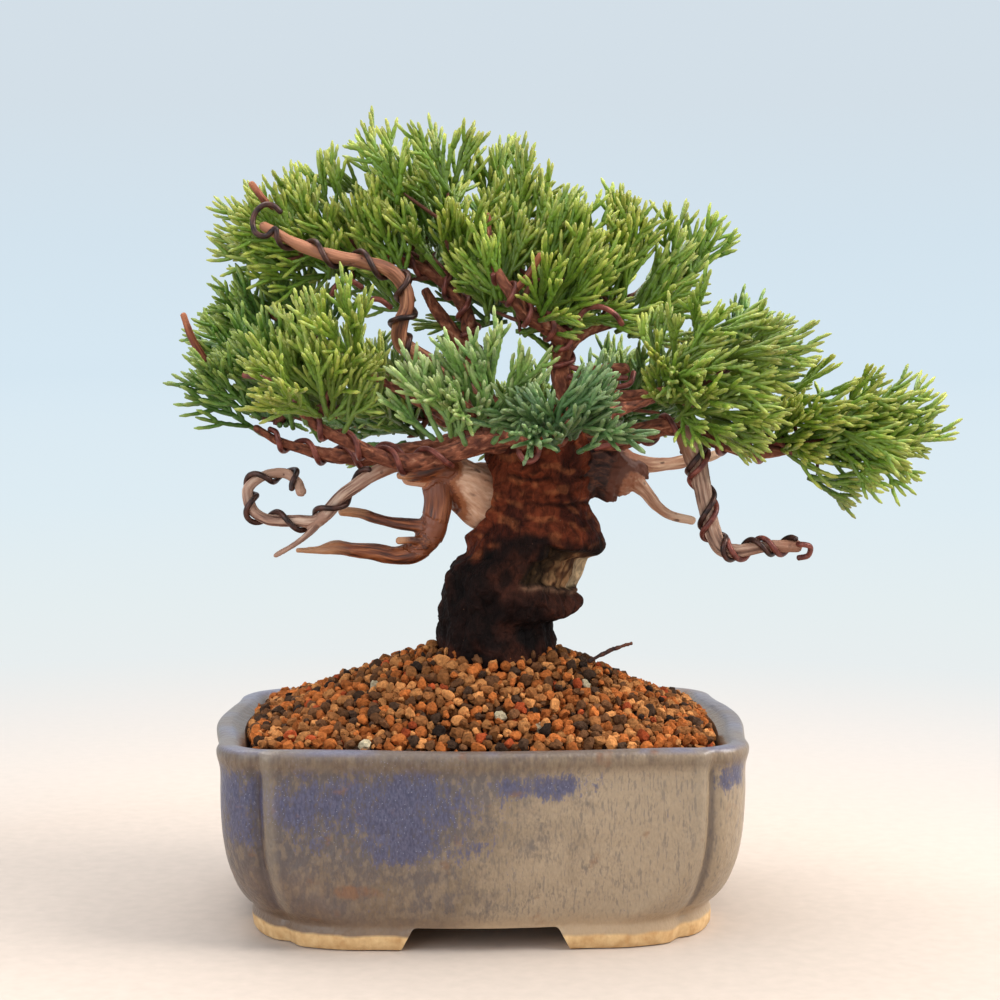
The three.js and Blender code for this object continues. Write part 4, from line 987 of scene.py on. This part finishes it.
def model_soil():
    model_soil_bed()
    kinds = [model_grain(seed) for seed in (1.3, 4.7, 9.1, 15.5, 22.2, 31.4, 40.8)]
    shares = [share for share, _ in GRAIN_TINTS]
    tints = np.array([colour(*tint) for _, tint in GRAIN_TINTS])
    for name, lift, spacing in (("soil_grains_under", -1.2, 0.8), ("soil_grains_top", 0.5, 0.82)):
        grains = scatter_grains(spacing, lift)
        kind = chance.integers(len(kinds), size=len(grains))
        parts = []
        for k, shape in enumerate(kinds):
            chosen = grains[kind == k]
            turned = np.einsum("nij,pj->npi", random_turns(len(chosen)), shape["points"])
            places = chosen[:, None, :3] + turned * chosen[:, None, 3:]
            places[..., 2] += chance.uniform(-0.4, 0.5, (len(chosen), 1))
            shade = tints[chance.choice(len(tints), len(chosen), p=np.array(shares) / sum(shares))]
            shade = shade * chance.uniform(0.55, 1.12, (len(chosen), 1))
            parts.append((shape, places, shade[:, None]))
        layer = copies(parts)
        layer.data.transform(Matrix.Rotation(POT_TURN, 4, "Z"))
        settle(layer, name, ["grain"], ["soil"], smooth_angle=32)


# ---------------------------------------------------------------- wood

def straighten(points, routes):
    """Each point in its branch's own coordinates, in millimetres: two across and one along. Also which route
    is nearest, its radius there, the share of the way along it, and how close the next route is (0 to 1)."""
    found, local = [], []
    for count, line in enumerate(smooth(route, 8) for route in routes):
        centres = line[:, :3]
        squares = (points**2).sum(1)[:, None] - 2 * points @ centres.T + (centres**2).sum(1)
        near = squares.argmin(1)
        along, u, v = (vectors[near] for vectors in directions(line))
        run = lengths(centres)
        away = points - centres[near]
        found.append((np.linalg.norm(away, axis=1), line[near, 3], run[near] / run[-1]))
        parts = [(away * u).sum(1), (away * v).sum(1), run[near] + (away * along).sum(1)]
        local.append(np.column_stack(parts) + 17.0 * count)  # so that no two routes have the same grain
    distances, radii, fade = np.array(found).transpose(1, 0, 2)
    owner = distances.argmin(0)
    rows = np.arange(len(points))
    joint = np.zeros(len(points))
    if len(routes) > 1:
        closest, second = np.sort(distances, axis=0)[:2]
        joint = np.clip((closest / second - 0.74) / 0.2, 0, 1)
    return np.array(local)[owner, rows], owner, radii[owner, rows], fade[owner, rows], joint


# How deep the furrows are in each wood, and how crumbly it is.
RELIEF = {"bark": (1, 0), "bone": (0.8, 0), "coil": (0.9, 0), "tawny": (0.8, 0), "grey": (1.5, 0.1),
          "pale": (0.25, 0), "amber": (0.45, 0), "twigbark": (0.8, 0.2), "char": (0.8, 1)}


def model_wood(name, routes, finishes, voxel, flare=0.35, nodes=None):
    """Branches that grow together, with lumps, furrows along them and a flared root."""
    limbs = []
    for route in routes:
        samples = smooth(route, 6)
        radii = samples[:, 3] * (1 + flare * np.exp(-lengths(samples) / 3.5))
        limbs.append(loft(rings_along(samples, radii, LIMB_SIDES)))
    wood = join(limbs) if len(limbs) > 1 else limbs[0]
    apply(wood, "REMESH", mode="VOXEL", voxel_size=voxel)
    apply(wood, "SMOOTH", factor=0.5, iterations=3)
    points = points_of(wood)
    local, owner, radii, fade, joint = straighten(points, routes)
    normals = numbers(wood.data.vertices, "normal", 3)
    size = np.clip(radii, 0.8, 4)
    rough, crumbs = np.array([RELIEF[finish] for finish in finishes])[owner].T
    push = 0.2 * size * field(local, (0.28, 0.28, 0.22))
    push += rough * (0.16 * size * ridges(local, (0.8, 0.8, 0.11), 5)
                     + 0.1 * field(local, (1.9, 1.9, 0.5), 9))
    push += crumbs * size * (0.22 * ridges(local, (0.33, 0.33, 0.3), 2)
                             + 0.12 * field(local, (0.9, 0.9, 0.9), 4))
    move_points(wood, points + normals * push[:, None])
    mark(wood, "grain", local, "FLOAT_VECTOR")
    mark(wood, "fade", fade, "FLOAT")
    mark(wood, "joint", joint, "FLOAT")
    names = list(dict.fromkeys(finishes))
    settle(wood, name + "_wood", names, [name] if nodes is None else nodes)
    if len(names) > 1:
        of_route = np.array([names.index(finish) for finish in finishes])
        first = numbers(wood.data.loops, "vertex_index", 1, np.int32)[
            numbers(wood.data.polygons, "loop_start", 1, np.int32)]
        wood.data.polygons.foreach_set("material_index", of_route[owner[first]].astype(np.int32))


def bell(values, middle, half):
    """1 at the middle, fading to nothing about a half-width away."""
    return np.exp(-((values - middle) / half) ** 2)


def step(values, low, high):
    """0 below one value, 1 above another, and smooth in between."""
    share = np.clip((values - low) / (high - low), 0, 1)
    return share * share * (3 - 2 * share)


def blend(under, over, share):
    """A colour, or a map of colours, over another map by a share for each spot."""
    over = np.array(colour(*over)) if isinstance(over, tuple) else over
    return under + (over - under) * share[..., None]


TRUNK_ROWS = 190
TRUNK_COLUMNS = 240
CUT_TURN = -88  # degrees round from +X where the old cut starts, in front
CUT_SPAN = 98


def model_trunk():
    """The trunk: a flared root base, craggy dark bark, the old cut between two rolled lips, and the
    cinnamon bark above with its folds and knots."""
    levels = np.linspace(TRUNK[0][0], TRUNK[-1][0], TRUNK_ROWS)
    drawn = smooth(TRUNK, 12)
    cx, cy, rx, ry = (np.interp(levels, drawn[:, 0], drawn[:, k])[:, None] for k in range(1, 5))
    around = np.linspace(-math.pi, math.pi, TRUNK_COLUMNS, endpoint=False)
    turn, height = np.meshgrid(around, levels)
    spots = np.stack([cx + rx * np.cos(turn), cy + ry * np.sin(turn), height], -1)
    flat = spots.reshape(-1, 3)

    def rough(scale, seed=0.0):
        return field(flat, scale, seed).reshape(turn.shape)

    def crest(scale, seed=0.0):
        return ridges(flat, scale, seed).reshape(turn.shape)

    def plain(*shade):
        return np.tile(colour(*shade), (*turn.shape, 1))

    # Lumps all over, and crags and fissures in the dark bark low down.
    low = step(-height, -78, -70)
    lumps = rough((0.1, 0.1, 0.12))
    crags = crest((0.16, 0.16, 0.12), 3)
    chips = rough((0.55, 0.55, 0.5), 6)
    fissures = crest((0.3, 0.3, 0.07), 13)
    push = 0.9 * lumps + low * (1.1 * crags - 0.9 + 0.7 * rough((0.3, 0.3, 0.25), 11)
                                - 0.9 * np.clip(fissures - 0.55, 0, 1))
    push += 0.3 * chips
    push = push + 0.16 * rough((1.5, 1.5, 1.2), 2) + 0.1 * low * rough((3, 3, 2.4), 12)
    # Folds across the bark above the cut, deepest in front.
    folds = np.zeros(turn.shape)
    for fold, reach, seed in ((85.4, 0.9, 40), (82.4, 0.35, 50), (88.4, 0.35, 60), (91.4, 0.8, 70)):
        wave = height + 2.6 * rough((0.1, 0.1, 0.02), seed)
        broken = np.clip(0.55 + 1.6 * rough((0.13, 0.13, 0.02), seed + 3), 0.1, 1)
        folds += broken * reach * (0.5 * bell(wave, fold + 1.3, 1) - bell(wave, fold, 0.5))
    push += folds * (1 - low)
    # Knots near the top, where branches were.
    for x, z, size in ((20.5, 96, 2.4), (8.5, 92.5, 2.8), (15, 89, 1.6)):
        away = np.hypot(spots[..., 0] - x, 1.2 * (height - z)) / size
        push += (spots[..., 1] < 0) * (1.3 * np.exp(-away**2) - 0.6 * bell(away, 1.25, 0.25))
    # The bark swells round the root of the big dead branch.
    collar = np.hypot(spots[..., 1] - 1.5, height - 87) / 7.6
    push += (np.cos(turn) < -0.3) * (1.2 * bell(collar, 1.12, 0.2) - 0.5 * bell(collar, 0.9, 0.12))
    # The old cut faces the front right: share runs from 0 at its left end to 1 at its right end. Its edges
    # slope, and the lips roll over above and below it.
    share = (np.degrees(turn) - CUT_TURN) / CUT_SPAN
    upper = 77.6 - 3.4 * np.clip(share, 0, 1) + 0.6 * rough((0.25, 0.25, 0.01), 90)
    lower = 69.6 - 2 * np.sin(np.clip(share * 2.2, 0, math.pi / 2)) + 0.5 * rough((0.3, 0.3, 0.01), 95)
    beside = step(share, 0.02, 0.13) * (1 - step(share, 1.0, 1.12))
    inside = beside * step(height, lower - 0.3, lower + 0.5) * (1 - step(height, upper - 0.4, upper + 0.4))
    hollow = inside * (1 - step(share + 0.06 * chips, 0.26, 0.4))
    pale = inside * step(share + 0.05 * chips, 0.64, 0.7)
    wood = 0.35 * crest((0.5, 0.5, 0.3), 21) + 0.25 * rough((1.2, 1.2, 0.8), 22)
    sunk = 2 * (1 - step(share, 0.75, 1))
    push = push * (1 - 0.85 * inside) + inside * (wood * (1 - pale) - sunk) - 1.2 * hollow
    lips = step(share, -0.15, 0.1) * (1 - step(share, 1.0, 1.3))
    push += lips * (0.8 * bell(height, upper + 2.2, 2) + 1.1 * bell(height, lower - 3, 2.4))
    push -= lips * 0.5 * bell(height, lower - 1.1, 0.3)
    rings = np.stack([cx + (rx + push) * np.cos(turn), cy + (ry + push) * np.sin(turn), height], -1)
    rings[..., 2] += 0.5 * rough((0.3, 0.3, 0.15), 30)
    # Cinnamon bark above, dark bark below, with a ragged edge between them, and then the cut.
    paint = plain(100, 44, 24)
    paint = blend(paint, (52, 20, 12), step(rough((0.16, 0.16, 0.2), 33), -0.1, 0.3) * 0.85)
    paint = blend(paint, (142, 80, 48), step(rough((0.35, 0.35, 0.5), 36), 0.15, 0.45) * 0.55)
    # Painted shade: the grooves of the folds are painted dark.
    paint = blend(paint, (40, 18, 12), np.clip(-folds * 1.2, 0, 0.8))
    dark = blend(plain(24, 11, 8), (62, 32, 22), step(rough((0.12, 0.12, 0.1), 44), 0.1, 0.5))
    # Painted shade: the low crevices between the crags are painted nearly black.
    dark = blend(dark, (12, 7, 6), step(-crags, -0.35, 0.1) * 0.8)
    dark = blend(dark, (80, 38, 22),
                 step(-height, -60, -50) * step(rough((0.2, 0.2, 0.2), 48), -0.1, 0.3) * 0.7)
    edge = height + 7 * rough((0.1, 0.1, 0.06), 55) + 3 * rough((0.4, 0.4, 0.3), 57)
    edge = edge + 2.6 * np.clip(share, 0, 1) * (share < 1.3)
    paint = blend(dark, paint, step(edge, 75.4, 80.6))
    crack = step(-crest((0.45, 0.45, 0.25), 21), -0.75, -0.35)
    tan = blend(plain(142, 104, 70), (84, 54, 34), 1 - crack)
    tan = blend(tan, (186, 158, 122), pale)
    paint = blend(paint, tan, inside)
    # Painted shade: the sunken left end of the cut is painted dark.
    paint = blend(paint, (44, 33, 21), 0.85 * hollow)
    border = inside * (1 - inside) * 4
    paint = blend(paint, (22, 14, 10), np.clip(border, 0, 0.8))
    rim = lips * bell(height, lower - 0.5, 0.45) * step(share, 0.02, 0.12)
    paint = blend(paint, (134, 98, 76), 0.6 * rim)
    paint[..., 3] = 1
    # The skin's points come in another order than the rings', so each takes the values of the nearest.
    top, bottom = rings[-1].mean(0) + [0, 0, 2.5], rings[0].mean(0) - [0, 0, 1]
    trunk = loft(np.concatenate([[point_ring(bottom, turn[0])], rings, [point_ring(top, turn[0])]]))
    tree = kdtree.KDTree(rings.size // 3)
    for i, point in enumerate(rings.reshape(-1, 3)):
        tree.insert(point, i)
    tree.balance()
    near = np.array([tree.find(Vector(p))[1] for p in points_of(trunk)])
    mark(trunk, "grain", flat[near], "FLOAT_VECTOR")
    mark(trunk, "tint", paint.reshape(-1, 4)[near], "FLOAT_COLOR")
    settle(trunk, "trunk_wood", ["trunk"], ["trunk"])


def model_wire(line, name, finish, nodes=()):
    wire = loft(rings_along(line, np.full(len(line), WIRE_RADIUS), WIRE_SIDES))
    settle(wire, name, [finish], nodes)


def wind_wire(name, route, turns, start, end, angle, finish, tail=()):
    """Wire wound round a branch, with a free tail of extra points."""
    samples = smooth(route, 24)
    share = np.linspace(0, 1, len(samples))
    kept = (share >= start) & (share <= end)
    _, u, v = directions(samples)
    turn = angle + 2 * np.pi * turns * (share - start) / (end - start)
    reach = samples[:, 3] + WIRE_RADIUS * 1.15
    wound = samples[:, :3] + reach[:, None] * (np.cos(turn)[:, None] * u + np.sin(turn)[:, None] * v)
    line = np.concatenate([wound[kept][::5], np.reshape(tail, (-1, 3))])
    line = smooth(np.column_stack([line, np.zeros(len(line))]), 5)
    name_of_look = name.replace("wire_", "training_wire_") + ("" if finish == "dark" else "_copper")
    model_wire(line, name_of_look, finish, [name])


def model_tree_wood():
    model_trunk()
    for name, route in BRANCHES.items():
        model_wood(name, [route], ["bark"], BARK_VOXEL)
    for name, parts in DEADWOOD.items():
        finishes = [finish for finish, _ in parts]
        model_wood(name, [route for _, route in parts], finishes, DEADWOOD_VOXEL, flare=0)
    for name, wires in WIRES.items():
        for wire in wires:
            wind_wire(name, *wire)
    for count, route in enumerate(LOOSE_WIRES):
        model_wire(smooth([(*point, 0) for point in route], 10), f"loose_wire_{count + 1}", "copper")
    for name, (finish, route) in SPRIGS.items():
        model_wood(name, [route], [finish], SPRIG_VOXEL, flare=0, nodes=())


# ---------------------------------------------------------------- foliage

def model_shoot(bands, sides, beads):
    """A straight shoot of length and radius 1 along +Z, extruded band by band. Beads of scale leaves make it
    wider and narrower in turn, and it tapers to a blunt point."""
    widths = [0.8]
    shoot = new_piece(bpy.ops.mesh.primitive_circle_add, vertices=sides, radius=widths[0], fill_type="NGON")

    def extrude():
        band = len(widths)
        share = band / bands
        width = (1.0 if band % 2 else 1 - beads) * (1.06 - 0.3 * share) * (0.45 if band == bands else 1)
        ratio = width / widths[-1]
        turn = math.pi / sides * (beads > 0)
        bpy.ops.mesh.extrude_region_move(TRANSFORM_OT_translate={"value": (0, 0, 1 / bands)})
        bpy.ops.transform.resize(value=(ratio, ratio, 1))
        bpy.ops.transform.rotate(value=turn, orient_axis="Z", center_override=(0, 0, 0))
        widths.append(width)

    edit(shoot, *[extrude] * bands)
    edit(shoot, face_outwards)
    return shape_of(shoot)


def bend_copies(shape, rows):
    """Copies of a straight shape, each bent along an arc. A row is a start, a direction, the side it bends
    to, a length, a radius and how far it bends."""
    rows = np.asarray(rows, float)
    start, along, side = rows[:, None, 0:3], rows[:, None, 3:6], rows[:, None, 6:9]
    length, radius, bend = rows[:, None, 9:10], rows[:, None, 10:11], rows[:, None, 11:12]
    x, y, t = (shape["points"][None, :, k:k + 1] for k in range(3))
    tangent = unit(along + bend * t * side)
    across = np.cross(along, side)
    inward = np.cross(across, tangent)
    return start + length * (t * along + 0.5 * bend * t**2 * side) + radius * (x * inward + y * across)


def square_to(direction, towards):
    """The unit vector nearest to another that is square to a direction."""
    rest = towards - direction * direction.dot(towards)
    return rest / max(np.linalg.norm(rest), 1e-6)


def on_arc(row, t):
    """Point and direction at t along a row of bend_copies()."""
    start, along, side, length, bend = row[0:3], row[3:6], row[6:9], row[9], row[11]
    return start + length * (t * along + 0.5 * bend * t * t * side), unit(along + bend * t * side)


def arc_row(start, along, towards, length, radius, bend):
    return np.concatenate([start, along, square_to(along, towards), [length, radius, bend]])


UP = np.array([0.0, 0.0, 1.0])


def grow_spray(base, heading, length, long_shoots, short_shoots):
    """A forked spray: one leading shoot, side shoots in turn to its left and right, and short forks. They are
    added to two lists, each as its row for bend_copies(), its age from 0 to 1 and the spray's own shade."""
    leader = arc_row(base, heading, UP + chance.normal(0, 0.5, 3), length, SHOOT_RADIUS * 1.05,
                     chance.uniform(0.0, 0.6))
    brightness = chance.uniform(0.82, 1.16)
    own = brightness * np.array([chance.uniform(0.93, 1.07), 1, chance.uniform(0.85, 1.15), 1])
    long_shoots.append((leader, 0.0, own))
    roll = chance.uniform(0, math.pi)
    count = int(round(length / chance.uniform(*SIDE_SHOOT_GAP)))
    for k in range(count):
        t = 0.12 + 0.7 * (k + chance.uniform(0.1, 0.9)) / count
        point, ahead = on_arc(leader, t)
        side = square_to(ahead, leader[6:9])
        other = np.cross(ahead, side)
        turn = roll + math.pi * (k % 2) + chance.normal(0, 0.35)
        spread = math.radians(chance.uniform(*SIDE_SHOOT_TURN))
        out = math.cos(spread) * ahead + math.sin(spread) * (math.cos(turn) * side + math.sin(turn) * other)
        reach = np.clip((length * (1 - t) * 0.56 + 3.4) * chance.uniform(0.7, 1.3), *SIDE_SHOOT_REACH)
        branch = arc_row(point, out, ahead, reach, SHOOT_RADIUS * 0.95, chance.uniform(0.2, 0.8))
        (long_shoots if reach > LONG_SHOOT else short_shoots).append((branch, t, own))
        for fork in range(sum(int(reach > least) for least in FORKS_FROM)):
            s = 0.34 + 0.42 * (fork + chance.uniform(0, 1)) / 2
            start, onward = on_arc(branch, s)
            swing = turn + math.pi * fork + chance.normal(0, 0.6)
            across = square_to(onward, branch[6:9])
            away = math.cos(FORK_TURN) * onward + math.sin(FORK_TURN) * (
                math.cos(swing) * across + math.sin(swing) * np.cross(onward, across))
            short = reach * (1 - s) * 0.7 + chance.uniform(1.6, 3.4)
            short_shoots.append((arc_row(start, away, onward, short, SHOOT_RADIUS * 0.88,
                                         chance.uniform(0.1, 0.6)), 0.6, own))


def sphere_spots(count):
    """Directions spread evenly over a sphere, a little shaken."""
    k = np.arange(count) + 0.5
    tilt = np.arccos(1 - 2 * k / count)
    turn = math.pi * (1 + 5**0.5) * k
    spots = np.column_stack([np.sin(tilt) * np.cos(turn), np.sin(tilt) * np.sin(turn), np.cos(tilt)])
    return unit(spots + chance.normal(0, 0.1, spots.shape))


TINTS = {  # shoot colours at the base, in the middle and at the young tip
    "fresh": ((62, 90, 22), (128, 160, 46), (208, 212, 92)),
    "light": ((76, 100, 32), (136, 164, 56), (204, 210, 96)),
    "deep": ((50, 80, 30), (98, 138, 48), (178, 196, 90)),
    "blue": ((72, 102, 50), (132, 166, 84), (194, 208, 134)),
    "teal": ((50, 80, 46), (98, 134, 76), (156, 180, 118)),
}
TWIG_TINT = np.array(colour(116, 62, 42))


def shoot_tints(shape, rows, tint):
    """Colour along each shoot, with painted shade where it narrows between the scale leaves and a shade of
    its own.
    """
    base, middle, tip = (np.array(colour(*shade)) for shade in TINTS[tint])
    t = shape["points"][None, :, 2]
    age = np.array([start for _, start, _ in rows])[:, None]
    young = np.clip(0.2 + 0.35 * age + (0.75 - 0.1 * age) * t**1.7, 0, 1)[..., None]
    shade = np.where(young < 0.6, base + (middle - base) * young / 0.6,
                     middle + (tip - middle) * (young - 0.6) / 0.4)
    # Painted shade: where the shoot narrows, between the beads of scale leaves and at its tip, it is painted
    # darker.
    radius = np.hypot(shape["points"][:, 0], shape["points"][:, 1])
    seam = (0.55 + 0.45 * np.clip((radius - 0.6) / 0.4, 0, 1))[None, :, None]
    own = np.array([own for _, _, own in rows])[:, None] * chance.uniform(0.84, 1.14, (len(rows), 1, 1))
    shade = shade * seam * own
    shade[..., 3] = 1
    return shade


def model_pad(name, centre, half, root, tint, sparse, lift, shapes, twigs):
    """A pad of sprays that fan out from the end of its branch, and from the heart of the tree."""
    centre, half, root = (np.array(v, float) for v in (centre, half, root))
    area = 4 * math.pi * (np.prod(half) ** (2 / 3))
    long_shoots, short_shoots, bases = [], [], []
    for depth, share in PAD_LAYERS:
        for spot in sphere_spots(max(5, round(share * area / TUFT_AREA / sparse))):
            if spot[2] < -0.3 and chance.uniform() < 0.4 + lift:
                continue
            spot = spot / (np.abs(spot) ** PAD_POWER).sum() ** (1 / PAD_POWER)
            tip = centre + spot * half * depth * chance.uniform(0.88, 1.08)
            heading = unit(0.3 * unit(spot / half) + 0.6 * unit(tip - root) + 0.45 * unit(tip - HEART)
                           + lift * UP + chance.normal(0, 0.2, 3))
            length = min(chance.uniform(*SPRAY_LENGTH), 0.95 * np.linalg.norm(tip - root))
            base = tip - heading * length
            for _ in range(TUFT_SPRAYS):
                fan = unit(heading + chance.normal(0, 0.3, 3))
                grow_spray(base + chance.normal(0, 1.4, 3), fan, length * chance.uniform(0.75, 1.12),
                           long_shoots, short_shoots)
            bases.append((base, heading))
    parts = [(shape, bend_copies(shape, [row for row, _, _ in rows]), shoot_tints(shape, rows, tint))
             for shape, rows in zip(shapes, (long_shoots, short_shoots))]
    settle(copies(parts), name + "_shoots", ["shoot"], ["foliage_" + name])
    # Twigs: a few forks out from the root, and a stem from the nearest fork to each spray.
    count = min(len(bases), max(5, len(bases) // 3))
    chosen = chance.choice(len(bases), count, replace=False)
    forks = np.array([root + 0.6 * (bases[i][0] - root) + chance.normal(0, 0.8, 3) for i in chosen])
    for fork in forks:
        away = fork - root
        twigs.append(arc_row(root, unit(away), UP, np.linalg.norm(away), 0.75, 0.02))
    for base, heading in bases:
        fork = forks[np.argmin(np.linalg.norm(forks - base, axis=1))]
        away = base + 0.8 * heading - fork
        twigs.append(arc_row(fork, unit(away), heading, np.linalg.norm(away), 0.45, 0.04))


def model_foliage():
    shapes = model_shoot(13, 5, 0.18), model_shoot(6, 5, 0.18)
    stem_shape = model_shoot(4, 5, 0.0)
    twigs = []
    for name, pad in PADS.items():
        model_pad(name, *pad, shapes, twigs)
    shade = TWIG_TINT * chance.uniform(0.6, 1.3, (len(twigs), 1, 1))
    settle(copies([(stem_shape, bend_copies(stem_shape, twigs), shade)]), "foliage_twigs", ["twig"])


# ---------------------------------------------------------------- drainage

def finish_small_parts():
    """The drain meshes and soft wires keep their solids and get their finishes."""
    looks = {"drain_mesh_left": "plastic", "drain_mesh_right": "plastic", "mesh_clip_left": "soft",
             "mesh_clip_right": "soft", "anchor_wire": "soft"}
    for name, finish in looks.items():
        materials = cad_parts[name].data.materials
        materials.clear()
        materials.append(FINISHES[finish])


# ---------------------------------------------------------------- stage

CAMERA_PLACE = (4.2, -466, 118)
CAMERA_PITCH = 3.9
CAMERA_LENS = 79.2
SIGHT = Vector((0, 0, 85))  # what the lights point at


def set_camera():
    data = bpy.data.cameras.new("camera")
    data.lens = CAMERA_LENS
    data.sensor_width = 36
    data.clip_start = 0.01
    data.clip_end = 20
    camera = new_object("camera", data)
    camera.location = TO_ROW @ Vector(CAMERA_PLACE)
    camera.rotation_euler = (math.radians(90 - CAMERA_PITCH), 0, 0)
    bpy.context.scene.camera = camera


def add_softbox(name, place, size, watts, shade):
    data = bpy.data.lights.new(name, "AREA")
    data.shape = "SQUARE"
    data.size = size
    data.energy = watts
    data.color = shade
    light = new_object(name, data)
    light.location = TO_ROW @ Vector(place)
    light.rotation_euler = (TO_ROW @ SIGHT - light.location).to_track_quat("-Z", "Y").to_euler()


def set_lights():
    add_softbox("key_light", (620, -120, 620), 0.5, 9, (1, 0.96, 0.9))
    add_softbox("top_light", (-150, 250, 850), 0.7, 7, (1, 0.98, 0.96))
    add_softbox("fill_light", (-520, -620, 380), 0.8, 4, (0.94, 0.97, 1))


def set_sky():
    """A pale blue sky that fades to nearly white at the horizon."""
    world = bpy.data.worlds.new("sky")
    bpy.context.scene.world = world
    sky = Graph(world)
    height = sky.axes(sky.add("TexCoord", {}, "Generated"))[2]
    shades = sky.ramp(height, (0.0, (214, 231, 242)), (0.05, (211, 227, 238)), (0.11, (211, 223, 232)),
                      (0.5, (214, 223, 232)))
    sky.fill(sky.nodes["Background"], {0: shades})


def set_floor():
    """A pale floor: cream round the pot, and as light as the sky far away, so that no edge shows."""
    floor = new_piece(bpy.ops.mesh.primitive_circle_add, vertices=96, radius=12, fill_type="NGON",
                      location=(POT_CENTRE.x, POT_CENTRE.y, 0))
    floor.name = "floor"
    f = Finish("floor", 0.9)
    clouds = f.ramp(f.noise(f.place((0.3, 0.3, 0.3)), detail=6.0), (0.3, 0.0), (0.7, 1.0))
    f.set(base_color=f.mix(clouds, (186, 172, 160), (193, 178, 166)))
    # 0 at 0.1 m from the pot's centre, and 1 at 10 m.
    distance = f.add("VectorMath", {0: f.place((MM, MM, 0))}, "Value", operation="LENGTH")
    reach = f.maths("LOGARITHM", distance, 10.0) * 0.5 + 0.5
    far = f.ramp(reach, (0.0, (240, 238, 234)), (0.21, (236, 238, 238)), (0.38, (229, 238, 240)),
                 (0.55, (222, 236, 243)), (0.83, (217, 233, 243)), (1.0, (214, 231, 242)))
    both = f.add("MixShader", {0: f.ramp(reach, (0.04, 0.0), (0.3, 1.0)), 1: Value(f, f.shader.outputs[0]),
                               2: f.add("Emission", {"Color": far})})
    f.fill(f.nodes["Material Output"], {0: both})
    floor.data.materials.append(f.material)


# ---------------------------------------------------------------- build

bpy.context.scene.view_settings.view_transform = "Standard"
set_camera()
set_lights()
set_sky()
set_floor()
model_pot()
model_soil()
model_tree_wood()
model_foliage()
finish_small_parts()
